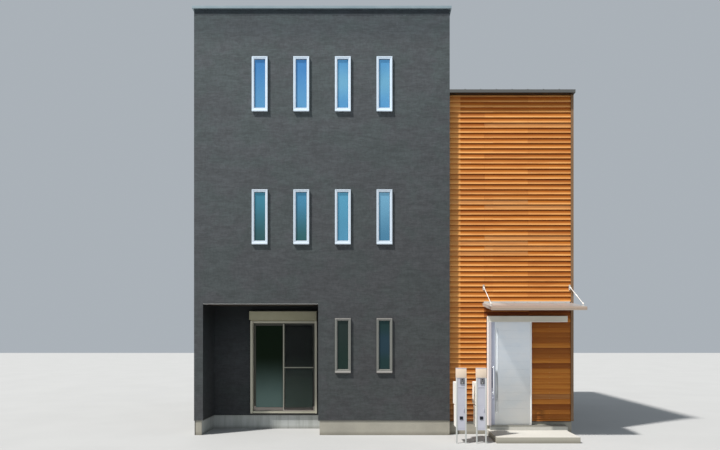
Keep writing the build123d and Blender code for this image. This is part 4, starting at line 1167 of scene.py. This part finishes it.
class HOUSE_OT_insect_screen(PieceOperator, bpy.types.Operator):
    """Insect screen with its frame, mid rail, cord groove, catch and woven mesh"""

    bl_idname = "house.insect_screen"
    bl_label = "Insect screen"

    def execute(self, context):
        slot, body = "patio_aluminium", "screen"
        x, y, z = site_spans("insect_screen")
        front, back = y
        face, mid = 0.027, 1.441
        made = Solid().frame(x, z, [
            (0.0, back), (face, back), (face, front + 0.004), (face - 0.002, front + 0.002),
            (face - 0.005, front + 0.002), (face - 0.006, front), (0.001, front), (0.0, front + 0.001)])
        made.block(wider(x, 0.001 - face), y, round_about(mid, 0.011), 0.002)
        made.block((x[0] + 0.006, x[0] + face - 0.006), (front - 0.0018, front + 0.001), (mid - 0.17, mid - 0.10),
                   0.0015)
        catch = (x[0] + face / 2, front - 0.0005, mid - 0.115)
        made.tube([catch, (catch[0], front - 0.003, catch[2])], 0.006, 12)
        dressed = made.mesh("screen_frame")
        # The screen's stile and mid rail are marked for painted light.
        mark_painted_light(dressed, ((x[0] - 0.001, x[0] + face + 0.001), z, 1.0), (wider(x, -0.05), (1.42, 1.46), 0.65))
        piece("screen_frame", dressed, sash_painted_light_and_shade(), ["insect_screen"], body)
        cord = Solid().frame(wider(x, 0.0052 - face), wider(z, 0.0052 - face), [
            (0.0, 0.002), (0.0, 0.0006), (0.003, 0.0006), (0.003, 0.002)], depth=front)
        piece("screen_cord", cord, black_rubber(), body=body)
        middle = (front + back) / 2
        sheet = Solid().block(wider(x, -face), round_about(middle, 0.0004), wider(z, -face))
        piece("screen_sheet", sheet, screen_mesh(), body=body)
        return {"FINISHED"}


class HOUSE_OT_shutter(PieceOperator, bpy.types.Operator):
    """Roller shutter box with its end caps, cover seams, screws and the seal of its end bar"""

    bl_idname = "house.shutter"
    bl_label = "Roller shutter"

    def execute(self, context):
        coat(shutter_paint(), "shutter_box")
        x, (front, _), (low, top) = site_spans("shutter_box")
        bottom, back = low + 0.026, 0.899
        outline = [(back, bottom - 0.001), (front - 0.0012, bottom - 0.001), (front - 0.0012, top - 0.0235),
                   (front + 0.0215, top - 0.0045), (back, top + 0.001)]
        box = Solid()
        for a, b in ((x[0] - 0.0025, x[0] + 0.004), (x[1] - 0.004, x[1] + 0.0025)):
            box.prism(outline, "X", a, b, 0.001)
        inner = wider(x, -0.004)
        box.block(inner, (front - 0.0016, front + 0.001), (bottom, bottom + 0.014), 0.0008)
        box.block(inner, (front - 0.0010, front + 0.001), (bottom + 0.115, bottom + 0.118), 0.0004)
        piece("shutter_covers", box, shutter_paint())
        screw = Solid().turned([(0.0045, 0.002), (0.0045, -0.001), (0.003, -0.002)], sides=10)
        in_rows("shutter_screws", screw, metal("satin_steel"),
                (x[0] + 0.06, front - 0.0014, bottom + 0.007), ((x[1] - x[0] - 0.12) / 6, 0, 0), 7)
        lip = Solid().block(inner, (0.835, 0.853), (low - 0.004, low + 0.002), 0.001)
        piece("end_bar_seal", lip, black_rubber())
        return {"FINISHED"}


class HOUSE_OT_boards(PieceOperator, bpy.types.Operator):
    """Lap boards of cedar on the front of the entrance block, in courses, with their nails"""

    bl_idname = "house.boards"
    bl_label = "Lap boards"

    def execute(self, context):
        (x0, x1), (front, back), (z0, z1) = BOARDS
        pitch, gap = BOARD_PITCH, 0.002
        count = math.ceil((z1 - FIRST_BUTT) / pitch)
        courses = [(z0, (FIRST_BUTT - z0) / pitch)]
        courses += [(z, min(1.0, (z1 - z) / pitch)) for z in (FIRST_BUTT + pitch * i for i in range(count))]
        beside = [z < DOORWAY[2] - pitch / 2 for z, share in courses]
        runs = []
        for number, (z, share) in enumerate(courses):
            joint = (6.408, 7.374)[number % 2]
            ends = DOORWAY[:2] if beside[number] else (joint, joint)
            runs += [(a + gap / 2, b - gap / 2, z, share) for a, b in ((x0, ends[0]), (ends[1], x1))]
        mesh = grown(TREES["boards"], "lap_boards", {
            "Height": pitch, "Butt": back - front - 0.001, "Tip": 0.002, "Ease": 0.003, "Sway": 0.001,
            "Seed": context.scene.house_sizes.board_seed, "Material": cedar(),
        }, [(a, back, z) for a, b, z, share in runs],
            {"length": [b - a for a, b, z, share in runs], "share": [share for a, b, z, share in runs]})
        piece("lap_boards", mesh, None, ["wood_cladding"])
        nail = Solid().turned([(0.0026, 0.001), (0.0026, -0.0004), (0.0015, -0.0009)], sides=8)
        rows = [(f"{side}_{number}", x, 0) for side, xs in (
            ("left", (5.66, 6.1, 6.57)), ("right", (7.45, 7.85, 8.29))) for number, x in enumerate(xs)]
        for name, x, first in rows + [("over", 6.9, sum(beside) - 1)]:
            in_rows(f"nails_{name}", nail, metal("satin_steel"),
                    (x, front + 0.0045, FIRST_BUTT + 0.022 + first * pitch), (0, 0, pitch), count - 1 - first)
        return {"FINISHED"}


class HOUSE_OT_trim(PieceOperator, bpy.types.Operator):
    """Folded corner trim of the entrance block, its screws, and the starter strip under the boards"""

    bl_idname = "house.trim"
    bl_label = "Corner trim"

    def execute(self, context):
        coat(metal("trim_sheet"), "corner_trim")
        low, high = site_box("corner_trim")
        in_rows("trim_screws", Solid().turned(SIDE_SCREW, "X", 10), metal("trim_sheet"),
                (high.x, 0.175, low.z + 0.15), (0, 0, 0.6), 12)
        strip = Solid()
        for ends in ((BOARDS[0][0], DOORWAY[0]), (DOORWAY[1], BOARDS[0][1])):
            strip.prism([(0.134, 0.272), (0.134, 0.289), (0.152, 0.289), (0.152, 0.286), (0.137, 0.286),
                         (0.137, 0.272)], "X", *wider(ends, -0.001))
        piece("starter_strip", strip, dark_sheet())
        return {"FINISHED"}


class HOUSE_OT_entrance_door(PieceOperator, bpy.types.Operator):
    """Outset sliding door: grooved leaf, slit of glass, stile, bowed handle, locks, rail box, jamb and seals"""

    bl_idname = "house.entrance_door"
    bl_label = "Entrance door"

    def execute(self, context):
        slot, body = "door_aluminium", "entrance_door"
        (x0, x1), (y0, y1), (z0, z1) = LEAF
        slit_x, slit_z = SLIT
        stile, start = x1 - LOCK_STILE, slit_x[1]
        inner, z = wider((y0, y1), -0.001), (z0 + 0.018, z1)
        leaf = Solid().blocks(0.0015, ((x0, slit_x[0]), (y0, y1), z), ((start, stile), (y0 + 0.003, y1), z))
        for ends in ((z[0], slit_z[0]), (slit_z[1], z1)):
            leaf.block(wider(slit_x, 0.001), inner, ends)
        leaf.block((start, start + 0.016), (y0, y0 + 0.004), z, 0.0012)
        leaf.block((stile, x1), (y0 - 0.004, y1), (z[0], LEAF_TO_BOX), 0.0025, 2)
        leaf.block((stile, x1), (y0, y1), (LEAF_TO_BOX - 0.002, z1), 0.001)
        for y in ((y0, y0 + 0.010), (y1 - 0.010, y1)):
            leaf.block((x0, x1), y, (z0, z0 + 0.019), 0.001)
        leaf.frame(wider(slit_x, 0.009), wider(slit_z, 0.009), [
            (0.0, 0.001), (0.0, -0.0025), (0.007, -0.0025), (0.009, 0.0), (0.009, 0.012), (0.008, 0.012),
            (0.008, 0.001)], depth=y0)
        leaf.frame(wider(slit_x, -0.0002), wider(slit_z, -0.0002), [
            (0.0, 0.004), (0.004, 0.012), (0.004, 0.015), (0.0, 0.015)], depth=y0)
        piece("leaf_frame", leaf, door_silver(), ["door_leaf"], body)
        pitch, groove = 0.172, 0.006
        plank = Solid().block((start + 0.0165, stile - 0.0005), (y0, y0 + 0.004),
                              (groove / 2, pitch - groove / 2), 0.0012)
        in_rows("leaf_planks", plank, door_silver(), (0, 0, z0 + 0.019), (0, 0, pitch), 13, body=body)
        coat(slit_glass(), "door_glass")
        seals = Solid().blocks(
            0.001, ((x0 - 0.0025, x0 + 0.001), wider((y0, y1), -0.012), (z0 + 0.03, LEAF_TO_BOX - 0.01)),
            (wider((x0, x1), -0.01), (y1 - 0.001, y1 + 0.0022), (z0 + 0.03, z0 + 0.04)))
        piece("leaf_seals", seals, black_rubber(), body=body)
        self.handle(6.583, y0, slot, body)
        coat(metal("satin_steel"), "door_hangers")
        coat(metal("rail_silver"), "door_rail_box")
        coat(jamb_white(), "door_jamb")
        self.surround(slot)
        return {"FINISHED"}

    def handle(self, x, y0, slot, body):
        """Bar on its two feet, with a dark blue strip of painted shade and the locks beside it."""
        steps, foot, length = 18, 0.89, 1.52 - 0.89
        bow = [math.sin(math.pi * i / steps) for i in range(steps + 1)]
        bar = Solid().tube([(x, 0.018 - 0.026 * out, foot + length * (i / steps)) for i, out in enumerate(bow)],
                           [0.009 + 0.0035 * out for out in bow])
        for z in (0.92, 1.49):
            bar.tube([(x, 0.0165, z), (x, 0.032, z), (x, y0, z)], 0.0075, 14)
            bar.turned([(0.008, -0.007), (0.014, -0.006), (0.017, -0.0035), (0.017, 0.0)], centre=(x, y0 + 0.0005, z))
        piece("handle_bar", bar, metal("polished_bar"), ["door_handle"], body)
        # Painted shade: a dark blue strip beside the bar.
        bar_shade = Solid().block((x - 0.031, x - 0.013), (y0 - 0.0014, y0 + 0.002), (1.03, 1.5), 0.001)
        piece("grip_plate", bar_shade, metal("bar_shade_blue"), body=body)
        locks = Solid()
        for z in (0.80, 1.61):
            locks.turned([(0.009, -0.0065), (0.009, -0.0095), (0.018, -0.009), (0.021, -0.006), (0.021, 0.0)],
                         sides=24, centre=(x, y0 + 0.0005, z))
            locks.block(round_about(x, 0.0014), (y0 - 0.0085, y0 - 0.006), round_about(z, 0.005))
        piece("door_locks", locks, door_silver(), body=body)

    def surround(self, slot):
        """What stays on the wall: covers and screws of the rail box, sealant, lining and sill."""
        x, (front, back), z = RAIL_BOX
        covers = Solid()
        for a, b in ((x[0] - 0.002, x[0] + 0.003), (x[1] - 0.003, x[1] + 0.002)):
            covers.block((a, b), (front - 0.0015, back), wider(z, 0.0015), 0.0008)
        covers.block(wider(x, -0.003), (front - 0.0012, front + 0.002), (z[0], z[0] + 0.008), 0.0008)
        piece("rail_box_covers", covers, metal("box_white"))
        in_rows("rail_box_screws", Solid().turned(SIDE_SCREW, "X", 10), metal("satin_steel"),
                (x[1] + 0.002, front + 0.02, z[0] + 0.03), (0, 0.06, 0), 2, (0, 0, 0.07), 2)
        y = (back - 0.012, back - 0.002)
        edges = Solid().blocks(
            0.002, ((x[1] + 0.0021, x[1] + 0.0105), y, (z[0], z[1] + 0.001)),
            ((x[0] - 0.008, x[0] - 0.0005), y, (HALL_FLOOR + 0.002, z[1])), (x, y, (z[1] + 0.0004, z[1] + 0.008)))
        piece("door_sealant", edges, black_rubber())
        left, right, top = DOORWAY
        deep, high = (0.131, 0.33), (HALL_FLOOR + 0.002, top)
        lining = Solid().blocks(
            0.001, ((left - 0.0005, left + 0.012), deep, high), ((right - 0.012, right + 0.0005), deep, high),
            ((left, right), deep, (top - 0.012, top)))
        piece("doorway_lining", lining, door_silver())
        sill = Solid()
        sill.block((left + 0.002, right - 0.002), (0.1, 0.33), (HALL_FLOOR + 0.0005, HALL_FLOOR + 0.005), 0.001)
        groove = (HALL_FLOOR + 0.0045, HALL_FLOOR + 0.0065)
        for y in (0.14, 0.165, 0.19, 0.215, 0.24):
            sill.block((left + 0.01, right - 0.01), (y, y + 0.006), groove, 0.0006)
        piece("doorway_sill", sill, metal("satin_steel"))


def canopy_top(y):
    """Height of the canopy's upper face at a depth Y on the site."""
    return 2.921 - 0.142 * (0.13 - y) / 1.04


class HOUSE_OT_canopy(PieceOperator, bpy.types.Operator):
    """Canopy with its edge caps, cover strips and soffit ribs, on tie rods with turnbuckles and pins"""

    bl_idname = "house.canopy"
    bl_label = "Canopy"

    def execute(self, context):
        sheet, slot, silver = "canopy_aluminium", "brushed_metal", canopy_silver()
        coat(silver, "canopy_panel")
        coat(metal("post_silver"), "canopy_brackets")
        coat(metal("box_white"), "canopy_tie_rods")
        x, tip, wall = (6.361, 8.322), -0.91, 0.084
        t0, t1 = canopy_top(tip), canopy_top(wall)
        caps = Solid()
        for a, b in ((x[0] - 0.0018, x[0] + 0.012), (x[1] - 0.012, x[1] + 0.0018)):
            caps.prism([(wall - 0.001, t1 + 0.0015), (tip - 0.0015, t0 + 0.0015), (tip - 0.0015, t0 - 0.0675),
                        (wall - 0.001, t1 - 0.0675)], "X", a, b, 0.0015)
        fold = tip + 0.03
        caps.prism([(fold, canopy_top(fold) - 0.001), (fold, canopy_top(fold) + 0.004), (tip - 0.003, t0 + 0.0035),
                    (tip - 0.006, t0 - 0.004), (tip - 0.006, t0 - 0.060), (tip - 0.002, t0 - 0.069),
                    (tip + 0.016, t0 - 0.069), (tip + 0.016, t0 - 0.064)], "X", *wider(x, -0.012))
        caps.block(wider(x, -0.0125), (tip - 0.0072, tip - 0.005), (t0 - 0.026, t0 - 0.021), 0.0008)
        piece("canopy_caps", caps, silver)
        for name, ends, (low, high), half, pitch, count in (
            ("canopy_strips", ((wall - 0.002, t1), (tip + 0.034, canopy_top(tip + 0.034))),
             (-0.001, 0.004), 0.014, 0.49, 3),
            ("canopy_ribs", [(y, canopy_top(y)) for y in (wall - 0.045, tip + 0.045)],
             (-0.0255, -0.050), 0.010, 0.245, 7),
        ):
            outline = [(y, top + low) for y, top in ends] + [(y, top + high) for y, top in ends[::-1]]
            bar = Solid().prism(outline, "X", -half, half, 0.001)
            in_rows(name, bar, silver, (x[0] + pitch, 0, 0), (pitch, 0, 0), count)
        hexagon = [(0.0075 * math.cos(t), 0.0075 * math.sin(t)) for t in circle(6)]
        bolt = Solid().prism(hexagon, "Y", 0.002, -0.005, 0.0008)
        bolt.turned([(0.0105, -0.0014), (0.0105, 0.001)], sides=16)
        ties = wider(x, -0.026)
        for name, start, step, count, up, rows in (
            ("wall_rail_bolts", (x[0] + 0.13, 0.084, 2.934), 0.2835, 7, 0, 1),
            ("tie_plate_bolts", (ties[0], 0.122, 3.257 - 0.046), ties[1] - ties[0], 2, 0.092, 2),
        ):
            in_rows(name, bolt, metal("satin_steel"), start, (step, 0, 0), count, (0, 0, up), rows)
        start, end = Vector((0, 0.086, 3.257)), Vector((0, -0.76, canopy_top(-0.76) + 0.044))
        way = (end - start).normalized()
        rods = Solid()
        for at in ties:
            side = Vector((at, 0, 0))
            middle = side + (start + end) / 2
            rods.tube([middle - way * 0.062, middle - way * 0.056, middle + way * 0.056, middle + way * 0.062],
                      [0.0085, 0.0105, 0.0105, 0.0085], 6)
            for sign in (-1, 1):
                rods.tube([middle + way * sign * 0.066, middle + way * sign * 0.075], 0.0105, 6)
            for pin in (start, end):
                for sign in (-1, 1):
                    head = [(0.0085, sign * 0.0093), (0.0085, sign * 0.0118), (0.006, sign * 0.0132)][::sign]
                    rods.turned(head, "X", 16, side + pin)
        piece("turnbuckles", rods, metal("box_white"))
        return {"FINISHED"}


class HOUSE_OT_letter_boxes(PieceOperator, bpy.types.Operator):
    """Two letter-box units: posts, panel, flap, parcel door, intercom, socket cover and lamp"""

    bl_idname = "house.letter_boxes"
    bl_label = "Letter-box units"

    def execute(self, context):
        coat(metal("unit_silver"), "post_frames")
        coat(metal("box_white"), "post_boxes")
        span, width, front = (0.0, UNIT_WIDTH), UNIT_WIDTH, UNIT_FRONT
        face = front + 0.006
        places = [(x, 0.0, 0.0, 0.0) for x in UNIT_XS]
        trims = Solid().blocks(
            0.001, (wider(span, -0.030), (face - 0.0015, face + 0.004), (0.762, 1.160)),
            (wider(span, -0.036), (face - 0.003, face - 0.001), (1.118, 1.150)),
            (wider(span, -0.031), (face - 0.0025, face + 0.004), (0.30, 0.752)))
        trims.block((0.150, 0.168), (face - 0.012, face - 0.003), (0.640, 0.720), 0.003, 2)
        set_out("unit_trims", trims, metal("unit_silver"), places)
        posts = Solid()
        for x in (0.0, width - 0.028):
            posts.block((x - 0.0006, x + 0.0286), (front - 0.0008, front + 0.029), (0.0, 1.3265), 0.0025, 2)
            posts.block((x - 0.008, x + 0.036), (front - 0.008, front + 0.036), (0.0, 0.008), 0.002)
        set_out("unit_posts", posts, metal("post_silver"), places)
        backs = Solid()
        for (z0, z1), depth in (((0.766, 1.222), 0.48), ((0.32, 0.748), 0.33)):
            y = front + 0.028 + depth
            backs.block(wider(span, -0.006), (y - 0.001, y + 0.004), (z0 + 0.004, z1 - 0.004), 0.002)
            backs.block(wider(span, -0.0015), (front + 0.034, y - 0.004), (z1 - 0.001, z1 + 0.0015), 0.0008)
            backs.turned([(0.013, 0.0), (0.013, 0.007), (0.010, 0.010)], sides=18,
                         centre=(width / 2, y + 0.003, z1 - 0.06))
            for z in (z0 + 0.05, z1 - 0.05):
                backs.tube([(0.0085, y + 0.005, z - 0.02), (0.0085, y + 0.005, z + 0.02)], 0.0035, 10)
        set_out("box_doors", backs, metal("box_white"), places)
        lamp = Solid().block(wider(span, -0.001), (front + 0.0005, front + 0.0955), (1.331, 1.516), 0.006, 3)
        set_out("lamp_covers", lamp, plain("opal_cover"), places, ["post_lamps"])
        cap = Solid().block(span, (front, front + 0.096), (1.5165, 1.5295), 0.003, 2)
        cap.block(span, (front, front + 0.096), (1.3265, 1.3315), 0.001)
        set_out("lamp_caps", cap, metal("unit_silver"), places)
        left, foot = 0.083, 1.205
        call = Solid().block((left, 0.167), (face - 0.017, face + 0.002), (foot, 1.327), 0.004, 2)
        set_out("intercoms", call, plain("grey_face"), places, ["post_intercoms"])
        dark = Solid().turned([(0.006, -0.0035), (0.010, -0.003), (0.012, 0.0)],
                              centre=(left + 0.042, face - 0.0175, foot + 0.092))
        dark.block((0.074, 0.140), (face - 0.012, face + 0.001), (0.482, 0.548), 0.003, 2)
        dark.block((0.080, 0.134), (face - 0.0155, face - 0.011), (0.490, 0.540), 0.002)
        dark.tube([(0.080, face - 0.0125, 0.541), (0.134, face - 0.0125, 0.541)], 0.0035, 10)
        dark.block(wider(span, -0.045), (face - 0.0034, face - 0.0028), (1.128, 1.132), 0.0002)
        set_out("unit_dark_parts", dark, plain("dark_face"), places)
        button = Solid().turned([(0.006, -0.004), (0.0075, -0.003), (0.0085, 0.001)])
        set_out("call_buttons", button, metal("post_silver"),
                [(x + left + 0.042, face - 0.0175, foot + 0.024, 0.0) for x in UNIT_XS])
        hole = Solid().turned([(0.0011, -0.0004), (0.0014, 0.0004)], sides=8)
        for number, x in enumerate(UNIT_XS):
            in_rows(f"speaker_holes_{number}", hole, black_rubber(),
                    (x + left + 0.026, face - 0.0173, foot + 0.044), (0.008, 0, 0), 5, (0, 0, 0.007), 3)
        return {"FINISHED"}


class HOUSE_OT_stage(PieceOperator, bpy.types.Operator):
    """Plain pale floor, soft light and the camera at the photo's place"""

    bl_idname = "house.stage"
    bl_label = "Stage"

    def execute(self, context):
        scene = context.scene
        scene.view_settings.view_transform = "Standard"
        colours = scene.house_colours
        floor_mesh = bpy.data.meshes.new("studio_floor")
        reach = 60.0
        floor_mesh.from_pydata([(-reach, -reach, 0), (reach, -reach, 0), (reach, reach, 0), (-reach, reach, 0)],
                               [], [(0, 1, 2, 3)])
        floor_mesh.materials.append(pale_floor())
        link("studio_floor", floor_mesh)
        world = bpy.data.worlds.new("studio")
        world.use_nodes = True
        background = world.node_tree.nodes["Background"]
        background.inputs["Color"].default_value = (*colours.sky_colour, 1.0)
        background.inputs["Strength"].default_value = colours.sky_strength
        scene.world = world
        sun = bpy.data.lights.new("key", "SUN")
        sun.energy = colours.sun_strength
        sun.angle = math.radians(3)
        sun.color = (1.0, 0.965, 0.92)
        towards_sun = Vector((-0.457, -0.297, 0.839))
        link("key", sun).rotation_euler = towards_sun.to_track_quat("Z", "Y").to_euler()
        lens = bpy.data.cameras.new("camera")
        lens.lens, lens.sensor_width = 29.575, 36
        lens.shift_x, lens.shift_y = -0.025, 0.1542
        lens.clip_end = 200
        camera = link("camera", lens)
        camera.location = SITE + Vector((4.0435, -13.0, 2.18))
        camera.rotation_euler = (math.radians(90), 0, 0)
        scene.camera = camera
        return {"FINISHED"}


class HOUSE_PT_panel(bpy.types.Panel):
    """Lists the house's pieces"""

    bl_idname = "HOUSE_PT_panel"
    bl_label = "Two-generation house"
    bl_space_type = "VIEW_3D"
    bl_region_type = "UI"
    bl_category = "House"

    def draw(self, context):
        for group in (context.scene.house_sizes, context.scene.house_colours):
            for name in group.__annotations__:
                self.layout.prop(group, name)
        for operator in OPERATORS:
            self.layout.operator(operator.bl_idname)


OPERATORS = (
    HOUSE_OT_walls, HOUSE_OT_base, HOUSE_OT_floors, HOUSE_OT_roofs, HOUSE_OT_coping, HOUSE_OT_windows,
    HOUSE_OT_recess, HOUSE_OT_patio, HOUSE_OT_insect_screen, HOUSE_OT_shutter, HOUSE_OT_boards, HOUSE_OT_trim,
    HOUSE_OT_entrance_door, HOUSE_OT_canopy, HOUSE_OT_letter_boxes, HOUSE_OT_stage,
)
CLASSES = (HouseSizes, HouseColours, *OPERATORS, HOUSE_PT_panel)


def register():
    for kind in CLASSES:
        bpy.utils.register_class(kind)
    bpy.types.Scene.house_sizes = bpy.props.PointerProperty(type=HouseSizes)
    bpy.types.Scene.house_colours = bpy.props.PointerProperty(type=HouseColours)


def unregister():
    del bpy.types.Scene.house_colours
    del bpy.types.Scene.house_sizes
    for kind in reversed(CLASSES):
        bpy.utils.unregister_class(kind)


def main():
    register()
    TREES.update({"rows": rows_tree(), "places": places_tree(), "boards": lap_boards_tree()})
    for operator in OPERATORS:
        area, name = operator.bl_idname.split(".")
        getattr(getattr(bpy.ops, area), name)()
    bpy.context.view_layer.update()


if __name__ == "__main__":
    main()
